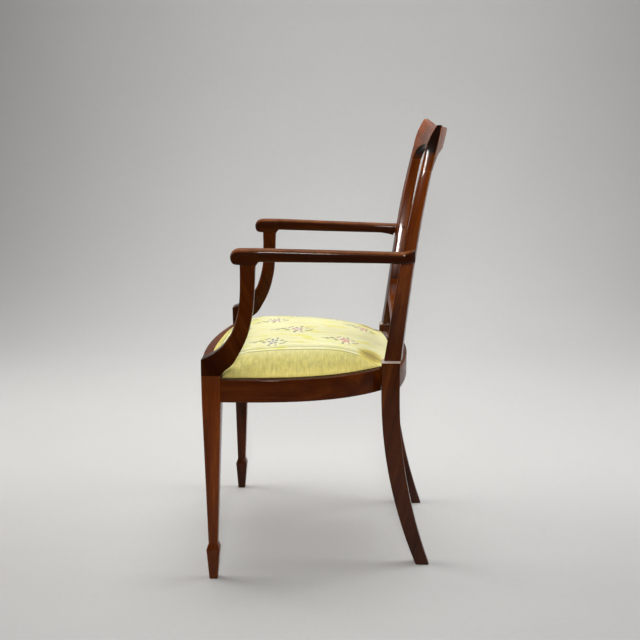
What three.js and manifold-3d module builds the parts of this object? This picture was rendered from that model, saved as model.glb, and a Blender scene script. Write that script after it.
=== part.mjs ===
// Mahogany armchair with a shield-shaped back and a domed upholstered seat.
// Millimetres. The chair faces -Y, the sitter's left is +X and +Z is up.
import * as THREE from 'three';
import { mergeVertices } from 'three/addons/utils/BufferGeometryUtils.js';
import Module from 'manifold-3d';

const wasm = await Module();
wasm.setup();

// Fits shared by every joint
const fit = 0.3; // gap left in a glued, housed or seated joint
const overrun = 6; // how far a cutter or a trimmed end runs past the face it meets

// Overall heights
const overallHeight = 955; // floor to the tips of the ears
const railTop = 444.5; // floor to the top of the seat rails
const railHeight = 47.5;
const ledgeRise = 20; // rails' top to the ledge where the rear leg becomes the stile
const ledgeDrop = 2.5; // height of the ledge's own slope

// Front legs
const frontLegX = 264.5; // middle plane to the centre of the leg
const frontLegY = -212.5;
const frontLegSize = 39;
const frontLegRise = 8.5; // how far the leg stands above the rails
const ankleSize = 19.5;
const ankleHeight = 81.5;
const spadeSize = 28;
const spadeHeight = 68;
const toeSize = 17.5;
const toeForward = 6.5; // how far the foot stands forward of the leg's top
const legEdge = 1; // broken edge of the square legs

// Rear legs
const seatDepth = 331; // between the front legs and the rear legs
const rearLegInner = 169; // middle plane to the inner face at the rails
const rearLegWidth = 34;
const rearLegDepth = 39;
const rearLegSweep = 79; // how far the sabre curve carries the foot back
const rearFootX = 177; // middle plane to the centre of the foot
const rearFootWidth = 26;
const rearFootDepth = 29.5;
const rearLegEdge = 2;
const rearLegSteps = 9;

// Back: one bowed and raked surface that every piece of the shield follows
const backBaseHeight = 500;
const backSetback = 28.2; // from the rear legs' front to the front of the back at that height
const backLean = 72.8; // run of its straight slope from there to the top
const backSweep = 15.7; // further run of its curve
const backRadius = 1050; // radius of its bow in plan
const shieldHalfWidth = 236;
const stileWidth = 26;
const stileDepth = 36; // front to back at the ledge
const stileThinPower = 0.75; // below 1, the stile thins most near its foot
const crestDepth = 22; // front to back at the crest
const jointDrop = 90; // from the tips of the ears down to the joint of stile and crest
const stileSteps = 16;
const shieldFrontCut = 4; // softened front corners of the shield's pieces
const shieldBackCut = 2;

// Half width of the shield's outline, by height from the ledge to the ears
const outlineShares = [
  [0, 0.826], [0.09, 0.83], [0.19, 0.856], [0.29, 0.892], [0.39, 0.93], [0.49, 0.966],
  [0.59, 0.992], [0.67, 1], [0.73, 0.996], [0.79, 0.986], [0.85, 0.97], [0.9, 0.955],
  [0.95, 0.954], [1, 0.978],
];

// Crest
const archDrop = 53.5; // from the tips of the ears down to the top of the arch
const crestDip = 16; // how far its top edge falls below the ears
const crestRoll = 12.8; // how far its front face rolls back at the top
const crestRollHeight = 50; // over which it rolls
const crestSwell = 4; // extra thickness on the middle plane
const crestFaceSteps = 4;
const neckShares = [0, 0.25, 0.5, 0.75, 1];
const archXShares = [1, 0.955, 0.89, 0.82, 0.75, 0.69, 0.6, 0.5, 0.4, 0.3, 0.2, 0.1, 0];
const archRiseShares = [0, 0.33, 0.59, 0.73, 0.82, 0.87, 0.93, 0.962, 0.98, 0.992, 1, 1, 1];
const crestTopXShares = [1, 0.88, 0.74, 0.6, 0.46, 0.33, 0.22, 0.11, 0];
const crestDipShares = [0, 0.28, 0.56, 0.82, 0.97, 0.98, 0.9, 0.79, 0.75];

// Curved rail that closes the foot of the shield
const footRailGap = 6.5; // from the ledge up to its lowest point
const footRailRise = 129; // from its lowest point to its upper corners
const footRailHalfWidth = 190; // runs into the stiles, which cut it
const footRailDepth = 23;
const footRailUpperShares = [
  [1, 1], [0.91, 0.744], [0.79, 0.597], [0.62, 0.484], [0.326, 0.322], [0, 0.225],
];
const footRailLowerShares = [
  [0.947, 0.457], [0.842, 0.388], [0.726, 0.318], [0.579, 0.229], [0.305, 0.085], [0, 0],
];

// Splat of five slender bars
const barWidth = 12;
const barSwell = 7; // extra width at mid height
const barDepth = 9;
const barRecess = 3; // how far the bars sit behind the front of the shield
const barHousing = 8; // length of each bar's end in its mortise
const barCut = 1.5;
const barSteps = 12;
const barSpread = 84; // outer bars, middle plane to centre line, at their widest
const barFanShares = [[0, 0.34], [0.2, 0.5], [0.4, 0.74], [0.6, 0.92], [0.8, 1], [1, 1.06]];
const barNames = ['splat_bar_right_outer', 'splat_bar_right_inner', 'splat_bar_centre',
  'splat_bar_left_inner', 'splat_bar_left_outer'];

// Tenons between the crest and the stiles
const stileTenonLength = 14;
const stileTenonWidth = 12;
const stileTenonDepth = 9;

// Seat rails
const frontRailThickness = 31;
const sideRailThickness = 24;
const frontRim = 19; // visible top edge outside the seat
const sideRim = 12;
const rebateDepth = 18;
const frontRailBow = 30;
const sideRailBow = 38.5;
const sideRailSkewShare = 0.6; // how much fuller its bow is toward the rear
const sideRailRearX = 184; // outer face of the side rail where it meets the rear leg
const rearRailBow = 21;
const rearRailThickness = 34; // where it meets the rear legs
const rearRailInnerBow = 17;
const railSteps = 14;
const tenonThickness = 10;
const tenonLength = 20;
const sideTenonLength = 14; // side rail into the rear leg
const shortTenonLength = 12; // side rail into the front leg, clear of the front rail's tenon
const tenonCheek = 3; // wood outside the side rail's rear tenon
const tenonShoulder = 5; // rail below each tenon, and above it up to the rebate

// Corner blocks and the screws that hold the seat
const blockHeight = 28;
const blockReach = 46; // along each rail from the corner
const blockShoulder = 20; // length of the block's faces square to the rails
const seatScrewInset = 24; // from the corner of the frame to the screw, along each rail
const screwShank = 2;
const screwHead = 4;
const screwHeadHeight = 2.6;
const screwSides = 12;
const screwTipShare = 0.25;

// Arms. Each row of the head is its share of the length, the share cut from below,
// the share cut from above and the share of the width.
const armHeadShares = [
  [0, 0.34, 0.4, 0.5], [0.12, 0.16, 0.2, 0.78], [0.32, 0.05, 0.08, 0.92], [0.65, 0, 0.02, 1], [1, 0, 0, 1],
];
const armFilletShares = [[0.13, 0], [0.25, 0.32], [0.42, 0.62], [0.67, 0.88], [1, 1]]; // run and rise
const armSpanShares = [0.25, 0.5, 0.75, 1];
const armEndShares = [0.35, 0.7, 0.9, 1];
const armHeadY = -171; // front tip of the arm
const armX = 249.6; // middle plane to the centre of the arm's head
const armMidX = 241;
const armRearX = 234.5;
const armHeadWidth = 30;
const armWidth = 26;
const armHeightShare = 0.522; // top of the arm's head, between the seat rails and the ears
const armFall = 9; // how far the top falls toward the rear
const armEndRise = 6; // the end swells up where it meets the stile
const armHeadHeight = 32.3; // thickness at the head
const armFrontHeight = 26; // behind the head
const armRearHeight = 22; // near the stile
const armEndTaper = 16; // how far the outer face turns in at the end
const armEndLength = 30; // over which it turns in
const armEdge = 4;
const armEdgeShare = 0.33; // most of the arm's height that the edge may take
const armFillet = 12; // length of the hollow behind the support

// Arm supports
const supportTopFront = -151.4;
const supportTopDepth = 31.5;
const supportTopWidth = 26;
const supportEdge = 2.5;
const armTenonRadius = 7;
const armTenonLength = 12;
const legDowelRadius = 5;
const legDowelDepth = 14;
const dowelSides = 20;

// Outline of the support in side view. Each share of the run is from the leg's face to
// the top of the support's same face, and each share of the rise is from leg to arm.
const supportFrontShares = [
  [0, 0], [0, 0.145], [0.24, 0.183], [0.41, 0.225], [0.547, 0.27], [0.689, 0.338],
  [0.804, 0.413], [0.93, 0.562], [0.986, 0.695], [1, 0.85], [1, 1],
];
const supportRearShares = [
  [0, 0], [0.16, 0.05], [0.353, 0.104], [0.51, 0.185], [0.633, 0.257], [0.746, 0.342],
  [0.83, 0.43], [0.914, 0.562], [0.952, 0.695], [0.98, 0.85], [1, 1],
];
const supportNarrowShares = [0, 0, 0.1, 0.24, 0.4, 0.58, 0.74, 0.9, 0.97, 1, 1];

// Screws through the stiles into the arms
const armScrewLength = 30;
const armPlugDepth = 5; // wooden plug over the screw's head

// Dowels between the foot rail and the stiles
const footDowelRadius = 4;
const footDowelLength = 26;
const footDowelHeightShare = 0.62; // of the foot rail's rise

// Seat: loose frame, webbing, base cloth and pad
const seatClear = 1.5; // between the seat and the rails, legs and rear rail
const frameThickness = 14;
const frameWidthShare = 0.8; // inner opening of the frame as a share of its outline
const frameFrontJoint = 24; // behind the front legs, to the joint with the side bars
const frameRearJoint = 43; // in front of the rear legs, to the joint with the side bars
const strapWidth = 50;
const strapThickness = 1.5;
const strapPitch = 84;
const strapLap = 22; // how far each strap runs over the frame
const lengthStraps = 4;
const crossStraps = 3;
const clothThickness = 0.8;
const clothInset = 4;
const padEdgeHeight = 2; // upright edge of the pad above the rail
const padCrown = 48; // height of the dome above that edge
const padCentreY = -60; // where the dome is highest
const padFrontPower = 0.75; // rounds the dome's shoulders at the front
const padRearPower = 0.92; // and lets it fall away more gently at the rear
const padPower = 2.5;
const padDrawnIn = 1.2; // how far the lower edge is drawn in
const padRingShares = [1, 0.985, 0.95, 0.89, 0.8, 0.68, 0.52, 0.34, 0.16];
const padSupportGap = 1.5; // between the pad and each arm support
const outlineFrontSteps = 12;
const outlineSideSteps = 9;
const outlineRearSteps = 4;

// Heights that follow
const ledgeHeight = railTop + ledgeRise;
const footRailBottom = ledgeHeight + footRailGap;
const jointHeight = overallHeight - jointDrop;
const crestBottom = overallHeight - archDrop;
const crestRollStart = overallHeight - crestRollHeight;
const railBottom = railTop - railHeight;
const rebateFloor = railTop - rebateDepth;
const frontLegTop = railTop + frontLegRise;
const armTopFront = railTop + (overallHeight - railTop) * armHeightShare;
const armTopRear = armTopFront - armFall;
const armUnderFront = armTopFront - armFrontHeight;
const armUnderRear = armTopRear - armRearHeight;
const supportTop = armTopFront - armHeadHeight;
const frameBottom = rebateFloor + fit;
const frameTop = frameBottom + frameThickness;
const strapOneBottom = frameTop + fit;
const strapTwoBottom = strapOneBottom + strapThickness + fit;
const clothBottom = strapTwoBottom + strapThickness + fit;
const padBottom = clothBottom + clothThickness + fit;

// Faces of the legs
const legInner = frontLegX - frontLegSize / 2;
const legOuter = frontLegX + frontLegSize / 2;
const legFront = frontLegY - frontLegSize / 2;
const legBack = frontLegY + frontLegSize / 2;
const rearLegFront = legBack + seatDepth;
const rearLegBack = rearLegFront + rearLegDepth;
const backBaseY = rearLegFront + backSetback;
const rearLegOuter = rearLegInner + rearLegWidth;

// Finishes
const mahogany = new THREE.MeshStandardMaterial({ color: '#5a2513', roughness: 0.28, metalness: 0 });
const beech = new THREE.MeshStandardMaterial({ color: '#b58a5a', roughness: 0.65, metalness: 0 });
const jute = new THREE.MeshStandardMaterial({ color: '#a5875a', roughness: 0.9, metalness: 0 });
const needlework = new THREE.MeshStandardMaterial({ color: '#e0db8e', roughness: 0.95, metalness: 0 });
const steel = new THREE.MeshStandardMaterial({ color: '#8d8a84', roughness: 0.4, metalness: 1 });

const lerp = THREE.MathUtils.lerp;

// Solid from a three.js geometry
function solidOf(geometry) {
  const bare = new THREE.BufferGeometry();
  bare.setAttribute('position', geometry.getAttribute('position'));
  bare.setIndex(geometry.index);
  const merged = mergeVertices(bare);
  return new wasm.Manifold(new wasm.Mesh({
    numProp: 3,
    vertProperties: new Float32Array(merged.getAttribute('position').array),
    triVerts: new Uint32Array(merged.index.array),
  }));
}

// Geometry from a solid, mirrored across the middle plane when the side is -1
function geometryOf(solid, side = 1) {
  const mesh = solid.getMesh();
  const positions = Float32Array.from(mesh.vertProperties, (value, i) => (i % 3 === 0 ? side * value : value));
  const index = Array.from(mesh.triVerts);
  const geometry = new THREE.BufferGeometry();
  geometry.setAttribute('position', new THREE.BufferAttribute(positions, 3));
  geometry.setIndex(side > 0 ? index : index.reverse());
  geometry.computeVertexNormals();
  return geometry;
}

// Closed solid skinned over rings of [x, y, z] points, with a fan of triangles on each end
function skin(rings) {
  const count = rings[0].length;
  const points = rings.flat();
  const index = [];
  for (let r = 0; r + 1 < rings.length; r += 1) {
    for (let p = 0; p < count; p += 1) {
      const next = (p + 1) % count;
      const a = r * count + p;
      const b = r * count + next;
      index.push(a, b, a + count, b, b + count, a + count);
    }
  }
  for (const [start, first, second] of [[0, 1, 0], [(rings.length - 1) * count, 0, 1]]) {
    const ring = points.slice(start, start + count);
    const centre = [0, 1, 2].map((axis) => ring.reduce((sum, point) => sum + point[axis], 0) / count);
    points.push(centre);
    for (let p = 0; p < count; p += 1) {
      index.push(points.length - 1, start + ((p + first) % count), start + ((p + second) % count));
    }
  }
  const geometry = new THREE.BufferGeometry();
  geometry.setAttribute('position', new THREE.Float32BufferAttribute(points.flat(), 3));
  geometry.setIndex(turnedOut(points, index));
  return solidOf(geometry);
}

// The same triangles, all reversed if they face inward
function turnedOut(points, index) {
  let volume = 0;
  for (let i = 0; i < index.length; i += 3) {
    const [a, b, c] = index.slice(i, i + 3).map((v) => new THREE.Vector3(...points[v]));
    volume += a.dot(b.cross(c));
  }
  return volume > 0 ? index : index.reverse();
}

// Box between two corners
function box(low, high) {
  const size = high.map((value, axis) => value - low[axis]);
  const geometry = new THREE.BoxGeometry(...size);
  geometry.translate(...high.map((value, axis) => (value + low[axis]) / 2));
  return solidOf(geometry);
}

// Round rod between two points
function rod(from, to, radius, sides) {
  const start = new THREE.Vector3(...from);
  const run = new THREE.Vector3(...to).sub(start);
  const geometry = new THREE.CylinderGeometry(radius, radius, run.length(), sides);
  geometry.translate(0, run.length() / 2, 0);
  const up = new THREE.Vector3(0, 1, 0);
  geometry.applyQuaternion(new THREE.Quaternion().setFromUnitVectors(up, run.clone().normalize()));
  geometry.translate(...from);
  return solidOf(geometry);
}

// Value of a table of [position, value] rows, smoothed by the slopes between its neighbours
function smooth(table, at) {
  const last = table.length - 1;
  let i = 0;
  while (i < last - 1 && at > table[i + 1][0]) i += 1;
  const slope = (a, b) => (table[b][1] - table[a][1]) / (table[b][0] - table[a][0]);
  const slopeAt = (k) => slope(Math.max(k - 1, 0), Math.min(k + 1, last));
  const span = table[i + 1][0] - table[i][0];
  const t = (at - table[i][0]) / span;
  const s = 1 - t;
  return table[i][1] * s * s * (1 + 2 * t) + table[i + 1][1] * t * t * (1 + 2 * s)
    + span * (slopeAt(i) * s * s * t - slopeAt(i + 1) * t * t * s);
}

// Section of a bar as [across, deep] points, with its corners cut and its faces divided
function barSection(width, depth, frontCut, backCut, steps = 1) {
  const front = [];
  const back = [];
  for (let i = 0; i <= steps; i += 1) {
    front.push([lerp(frontCut, width - frontCut, i / steps), 0]);
    back.push([lerp(width - backCut, backCut, i / steps), depth]);
  }
  return [[0, frontCut], ...front, [width, frontCut], [width, depth - backCut], ...back, [0, depth - backCut]];
}

// The same section grown outward all round, for cutting a housing
function grownSection(section, width, depth, grow) {
  return section.map(([across, deep]) => [
    (across / width) * (width + 2 * grow) - grow,
    (deep / depth) * (depth + 2 * grow) - grow,
  ]);
}

// Front surface of the back at a place in its elevation
function backFront(x, z) {
  const t = (z - backBaseHeight) / (overallHeight - backBaseHeight);
  return backBaseY + backLean * t + backSweep * t * t - (x * x) / (2 * backRadius);
}

function outlineX(z) {
  return shieldHalfWidth * smooth(outlineShares, (z - ledgeHeight) / (overallHeight - ledgeHeight));
}

function stileDepthAt(z) {
  const share = Math.max(0, z - ledgeHeight) / (jointHeight - ledgeHeight);
  return lerp(stileDepth, crestDepth, share ** stileThinPower);
}

// Place on the stile, by height of its outer edge, distance across from that edge and depth
function stilePlace(z, across, deep) {
  const slope = (outlineX(z + fit) - outlineX(z - fit)) / (2 * fit);
  const length = Math.hypot(1, slope);
  const x = outlineX(z) - across / length;
  const height = z + (across * slope) / length;
  return [x, backFront(x, height) + deep, height];
}

function stileRing(z, grow) {
  const depth = stileDepthAt(z);
  const section = barSection(stileWidth, depth, shieldFrontCut, shieldBackCut);
  return grownSection(section, stileWidth, depth, grow).map(([across, deep]) => stilePlace(z, across, deep));
}

// Rear leg below the ledge: square at the rails, then a sabre curve to the floor
function rearLegRing(z, grow) {
  const fall = Math.max(0, (railBottom - z) / railBottom);
  const front = rearLegFront + rearLegSweep * fall * fall;
  const depth = lerp(rearLegDepth, rearFootDepth, fall * fall);
  const width = lerp(rearLegWidth, rearFootWidth, fall);
  const outer = lerp(rearLegOuter, rearFootX + rearFootWidth / 2, fall);
  const section = barSection(width, depth, rearLegEdge, rearLegEdge);
  return grownSection(section, width, depth, grow).map(([across, deep]) => [outer - across, front + deep, z]);
}

// Leg and stile in one length, from the floor to the crest joint
function rearLegBody(grow) {
  const rings = [];
  for (let i = 0; i <= rearLegSteps; i += 1) rings.push(rearLegRing((railBottom * i) / rearLegSteps, grow));
  rings.push(rearLegRing(ledgeHeight - ledgeDrop, grow));
  for (let i = 0; i <= stileSteps; i += 1) {
    rings.push(stileRing(lerp(ledgeHeight, jointHeight, i / stileSteps), grow));
  }
  return skin(rings);
}

// Tenon that runs from the stile up into the crest
function stileTenon(grow) {
  const depth = crestDepth;
  const section = barSection(stileTenonWidth, stileTenonDepth, 0, 0);
  const rings = [jointHeight - overrun, jointHeight + stileTenonLength + grow].map((z) => (
    grownSection(section, stileTenonWidth, stileTenonDepth, grow).map(([across, deep]) => (
      stilePlace(z, across + (stileWidth - stileTenonWidth) / 2, deep + (depth - stileTenonDepth) / 2)))));
  return skin(rings);
}

// Ribbon in the shield's elevation between pairs of edge points, following the bowed back
function shieldRibbon(pairs, depthAt, frontOffset, cuts, steps, grow) {
  return skin(pairs.map(([[outerX, outerZ], [innerX, innerZ]]) => {
    const width = Math.hypot(outerX - innerX, outerZ - innerZ);
    const depth = depthAt(outerX);
    const section = barSection(width, depth, cuts[0], cuts[1], steps);
    return grownSection(section, width, depth, grow).map(([across, deep]) => {
      const x = lerp(outerX, innerX, across / width);
      const z = lerp(outerZ, innerZ, across / width);
      const front = frontOffset(z);
      return [x, backFront(x, z) + front + deep * (1 - front / depth), z];
    });
  }));
}

// Crest with its two ears and the shoulders that meet the stiles
function crestBody() {
  const outerJoint = stilePlace(jointHeight + fit, 0, 0);
  const innerJoint = stilePlace(jointHeight + fit, stileWidth, 0);
  const earX = outlineX(overallHeight);
  const arch = archXShares.map((share, i) => [
    share * innerJoint[0],
    lerp(innerJoint[2], crestBottom, archRiseShares[i]),
  ]);
  const neck = neckShares.map((share) => {
    const z = lerp(outerJoint[2], overallHeight, share);
    return [outlineX(z), z];
  });
  const top = crestTopXShares.map((share, i) => [share * earX, overallHeight - crestDip * crestDipShares[i]]);
  const half = [...neck, ...top.slice(1)].map((point, i) => [point, arch[i]]);
  const mirrored = half.slice(0, -1).reverse().map((pair) => pair.map(([x, z]) => [-x, z]));
  const depthAt = (x) => crestDepth + crestSwell * (1 - (x / shieldHalfWidth) ** 2);
  const roll = (z) => crestRoll * (Math.max(0, z - crestRollStart) / crestRollHeight) ** 2;
  const cuts = [shieldFrontCut / 2, shieldBackCut];
  return shieldRibbon([...half, ...mirrored], depthAt, roll, cuts, crestFaceSteps, 0);
}

function footRailBody(grow) {
  const place = ([xShare, zShare]) => [xShare * footRailHalfWidth, footRailBottom + zShare * footRailRise];
  const half = footRailUpperShares.map((share, i) => [place(share), place(footRailLowerShares[i])]);
  const mirrored = half.slice(0, -1).reverse().map((pair) => pair.map(([x, z]) => [-x, z]));
  const cuts = [shieldFrontCut, shieldBackCut];
  return shieldRibbon([...half, ...mirrored], () => footRailDepth, () => 0, cuts, 1, grow);
}

// Height of the foot rail's upper edge at a distance from the middle plane
function footRailTop(x) {
  const rows = footRailUpperShares.map(([xShare, zShare]) => [
    xShare * footRailHalfWidth,
    footRailBottom + zShare * footRailRise,
  ]);
  return smooth(rows.reverse(), Math.abs(x));
}

// One bar of the splat. The place runs from -2 at the sitter's right to 2 at the left.
function splatBar(place, grow) {
  const reach = (place / 2) * barSpread;
  const foot = footRailTop(reach * barFanShares[0][1]) - barHousing;
  const top = crestBottom + barHousing;
  const rings = [];
  for (let i = 0; i <= barSteps; i += 1) {
    const t = i / barSteps;
    const z = lerp(foot - grow, top + grow, t);
    const x = reach * smooth(barFanShares, t);
    const width = barWidth + barSwell * Math.sin(Math.PI * t) ** 2;
    const section = barSection(width, barDepth, barCut, barCut);
    rings.push(grownSection(section, width, barDepth, grow).map(([across, deep]) => {
      const sideways = x + width / 2 - across;
      return [sideways, backFront(sideways, z) + barRecess + deep, z];
    }));
  }
  return skin(rings);
}

// Square tapered front leg with a spade foot
function frontLegBody(grow) {
  const rows = [
    [0, toeSize], [spadeHeight, spadeSize], [ankleHeight, ankleSize], [railBottom, frontLegSize],
    [frontLegTop + grow, frontLegSize],
  ];
  return skin(rows.map(([z, size]) => {
    const section = barSection(size, size, legEdge, legEdge);
    const centreY = frontLegY - toeForward * Math.max(0, 1 - z / railBottom);
    return grownSection(section, size, size, grow).map(([across, deep]) => [
      frontLegX + size / 2 - across, centreY - size / 2 + deep, z,
    ]);
  }));
}

// Rail section as [inward, height] points. A rail with a rim has the rebate that takes the seat.
function railSection(thickness, rim, grow) {
  const low = railBottom - grow;
  const high = railTop + grow;
  const inner = thickness + grow;
  if (!rim) return [[-grow, low], [-grow, high], [inner, high], [inner, low]];
  const floor = rebateFloor + grow;
  const edge = rim + grow;
  return [[-grow, low], [-grow, high], [edge, high], [edge, floor], [inner, floor], [inner, low]];
}

// Outer face of the front rail at a distance from the middle plane
function frontRailY(x) {
  return legFront - frontRailBow * (1 - (x / legInner) ** 2);
}

function frontRailBody(grow) {
  const half = legInner - fit + grow;
  const rings = [];
  for (let i = 0; i <= railSteps; i += 1) {
    const x = lerp(-half, half, i / railSteps);
    const section = railSection(frontRailThickness, frontRim, grow);
    rings.push(section.map(([inward, z]) => [x, frontRailY(x) + inward, z]));
  }
  return skin(rings);
}

// Place on the side rail, by share of its length from front to back and distance inward
function sideRailPlace(share, inward) {
  const chord = new THREE.Vector2(sideRailRearX - legOuter, rearLegFront - legBack);
  const out = new THREE.Vector2(chord.y, -chord.x).normalize();
  const skew = 1 + sideRailSkewShare * (share - 1 / 2);
  const bow = sideRailBow * (1 - (2 * share - 1) ** 2) * skew - inward;
  return [legOuter + chord.x * share + out.x * bow, legBack + chord.y * share + out.y * bow];
}

function sideRailBody(grow) {
  const rings = [];
  for (let i = -1; i <= railSteps + 1; i += 1) {
    const section = railSection(sideRailThickness, sideRim, grow);
    rings.push(section.map(([inward, z]) => [...sideRailPlace(i / railSteps, inward), z]));
  }
  const low = [0, legBack + fit - grow, 0];
  const high = [legOuter + sideRailBow, rearLegFront - fit + grow, overallHeight];
  return skin(rings).intersect(box(low, high));
}

// Back face of the rear rail is flush with the legs and bows out between them
function rearRailBody(grow) {
  const half = rearLegInner - fit + grow;
  const rings = [];
  for (let i = 0; i <= railSteps; i += 1) {
    const x = lerp(-half, half, i / railSteps);
    const bulge = 1 - (x / rearLegInner) ** 2;
    const back = rearLegBack + rearRailBow * bulge;
    const front = rearRailFront(x);
    rings.push(railSection(back - front, 0, grow).map(([inward, z]) => [x, back - inward, z]));
  }
  return skin(rings);
}

function rearRailFront(x) {
  return rearLegBack - rearRailThickness + rearRailInnerBow * (1 - (x / rearLegInner) ** 2);
}

// Tenons of the rails, as boxes that the rails carry and, when grown, mortise the legs
const tenonLow = railBottom + tenonShoulder;
const tenonHigh = rebateFloor - tenonShoulder;

function tenonBox(low, high, grow) {
  return box(low.map((value) => value - grow), high.map((value) => value + grow));
}

function frontRailTenon(grow) {
  const front = legFront + (frontRailThickness - tenonThickness) / 2;
  return tenonBox(
    [legInner - overrun, front, tenonLow],
    [legInner + tenonLength, front + tenonThickness, tenonHigh],
    grow,
  );
}

function sideRailFrontTenon(grow) {
  const outer = legOuter - (sideRailThickness - tenonThickness) / 2;
  return tenonBox(
    [outer - tenonThickness, legBack - shortTenonLength, tenonLow],
    [outer, legBack + overrun, tenonHigh],
    grow,
  );
}

function sideRailRearTenon(grow) {
  const outer = sideRailRearX - tenonCheek;
  return tenonBox(
    [outer - tenonThickness, rearLegFront - overrun, tenonLow],
    [outer, rearLegFront + sideTenonLength, tenonHigh],
    grow,
  );
}

function rearRailTenon(grow) {
  const front = rearLegBack - (rearRailThickness + tenonThickness) / 2;
  return tenonBox(
    [rearLegInner - overrun, front, tenonLow],
    [rearLegInner + tenonLength, front + tenonThickness, tenonHigh],
    grow,
  );
}

// Arm support in side view: square foot on the leg, then a sweep back and up to the arm
function supportBody(grow) {
  const bottom = frontLegTop + fit;
  return skin(supportFrontShares.map(([frontRun, frontRise], i) => {
    const [rearRun, rearRise] = supportRearShares[i];
    const front = [lerp(legFront, supportTopFront, frontRun), lerp(bottom, supportTop, frontRise)];
    const topBack = supportTopFront + supportTopDepth;
    const rear = [lerp(legBack, topBack, rearRun), lerp(bottom, supportTop, rearRise)];
    const narrow = supportNarrowShares[i];
    const width = lerp(frontLegSize, supportTopWidth, narrow);
    const depth = Math.hypot(front[0] - rear[0], front[1] - rear[1]);
    const centre = lerp(frontLegX, armX, frontRise);
    const section = barSection(width, depth, supportEdge, supportEdge);
    return grownSection(section, width, depth, grow).map(([across, deep]) => [
      centre + width / 2 - across,
      lerp(front[0], rear[0], deep / depth),
      lerp(front[1], rear[1], deep / depth),
    ]);
  }));
}

const supportTopY = supportTopFront + supportTopDepth / 2;

function armTenon(grow) {
  return rod(
    [armX, supportTopY, supportTop - overrun],
    [armX, supportTopY, supportTop + armTenonLength + grow],
    armTenonRadius + grow,
    dowelSides,
  );
}

function legDowel(grow) {
  return rod(
    [frontLegX, frontLegY, frontLegTop - legDowelDepth - grow],
    [frontLegX, frontLegY, frontLegTop + overrun],
    legDowelRadius + grow,
    dowelSides,
  );
}

// Dowel across the joint of the foot rail and the stile
function footDowel(grow) {
  const z = footRailBottom + footRailRise * footDowelHeightShare;
  const [x, front] = stilePlace(z, stileWidth, 0);
  const y = front + footRailDepth / 2;
  const half = footDowelLength / 2 + grow;
  return rod([x - half, y, z], [x + half, y, z], footDowelRadius + grow, dowelSides);
}

// Arm as [y, underside, top, centre, width] rows from its rounded head to the stile
function armRows() {
  const headHeight = armTopFront - supportTop;
  const headLength = supportTopFront - armHeadY;
  const under = supportTop + fit;
  const head = armHeadShares.map(([run, lowShare, highShare, widthShare]) => [
    armHeadY + headLength * run,
    under + headHeight * lowShare,
    armTopFront - headHeight * highShare,
    armX,
    armHeadWidth * widthShare,
  ]);
  const seatEnd = supportTopFront + supportTopDepth;
  const fillet = armFilletShares.map(([run, rise]) => [
    seatEnd + armFillet * run,
    lerp(under, armUnderFront, rise),
    armTopFront,
    armX,
    lerp(armHeadWidth, armWidth, run),
  ]);
  const start = fillet[fillet.length - 1][0];
  const endY = backFront(outlineX(armTopRear), armTopRear) + stileDepthAt(armTopRear);
  const lapStart = endY - armEndLength;
  const span = armSpanShares.map((share) => [
    lerp(start, lapStart, share),
    lerp(armUnderFront, armUnderRear, share),
    lerp(armTopFront, armTopRear, share),
    smooth([[0, armX], [0.5, armMidX], [1, armRearX]], share),
    armWidth,
  ]);
  const end = armEndShares.map((share) => {
    const taper = armEndTaper * share ** 3;
    return [
      lerp(lapStart, endY, share),
      armUnderRear,
      armTopRear + armEndRise * share,
      armRearX - taper / 2,
      armWidth - taper,
    ];
  });
  return [...head, ...fillet, ...span, ...end];
}

function armBody() {
  return skin(armRows().map(([y, low, high, centre, width]) => {
    const height = high - low;
    const edge = Math.min(armEdge, height * armEdgeShare);
    const section = barSection(width, height, edge, edge / 2);
    return section.map(([across, down]) => [centre + width / 2 - across, y, high - down]);
  }));
}

// Screw with a countersunk head: shank along +Z, face of the head at the origin
function screwGeometry(length) {
  const tipStart = length * (1 - screwTipShare);
  const profile = [
    [0, 0], [screwHead, 0], [screwShank, screwHeadHeight], [screwShank, tipStart], [0, length],
  ];
  const geometry = new THREE.LatheGeometry(profile.map(([x, y]) => new THREE.Vector2(x, y)), screwSides);
  geometry.rotateX(Math.PI / 2);
  return geometryOf(solidOf(geometry));
}

// Pilot hole for a screw, from past its head to past its tip
function screwHole(from, direction, length) {
  const along = (distance) => from.map((value, axis) => value + direction[axis] * distance);
  const shank = rod(along(-fit), along(length + fit), screwShank + fit, screwSides);
  const head = rod(along(-overrun), along(screwHeadHeight + fit), screwHead + fit, screwSides);
  return shank.add(head);
}

// Right half of the seat's plan, from the middle of the front to the middle of the back
function seatHalfOutline(inset) {
  const away = seatClear + inset;
  const notchX = legInner - away;
  const notchY = legBack + away;
  const rearX = rearLegInner - away;
  const points = [];
  for (let i = 0; i <= outlineFrontSteps; i += 1) {
    const x = (notchX * i) / outlineFrontSteps;
    points.push([x, frontRailY(x) + frontRim + away]);
  }
  points.push([notchX, notchY]);
  const sideStart = away / (rearLegFront - legBack);
  for (let i = 0; i <= outlineSideSteps; i += 1) {
    const [x, y] = sideRailPlace(lerp(sideStart, 1, i / outlineSideSteps), sideRim + away);
    points.push([Math.max(x, rearX), Math.max(y, notchY)]);
  }
  points.push([rearX, rearLegFront]);
  for (let i = 0; i <= outlineRearSteps; i += 1) {
    const x = rearX * (1 - i / outlineRearSteps);
    points.push([x, rearRailFront(x) - away]);
  }
  return points;
}

function seatOutline(inset, scaleShare = 1) {
  const half = seatHalfOutline(inset);
  const mirrored = half.slice(1, -1).reverse().map(([x, y]) => [-x, y]);
  return [...half, ...mirrored].map(([x, y]) => [x * scaleShare, lerp(padCentreY, y, scaleShare)]);
}

function seatPlate(inset, scaleShare, low, high) {
  const outline = seatOutline(inset, scaleShare);
  return skin([low, high].map((z) => outline.map(([x, y]) => [x, y, z])));
}

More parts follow.
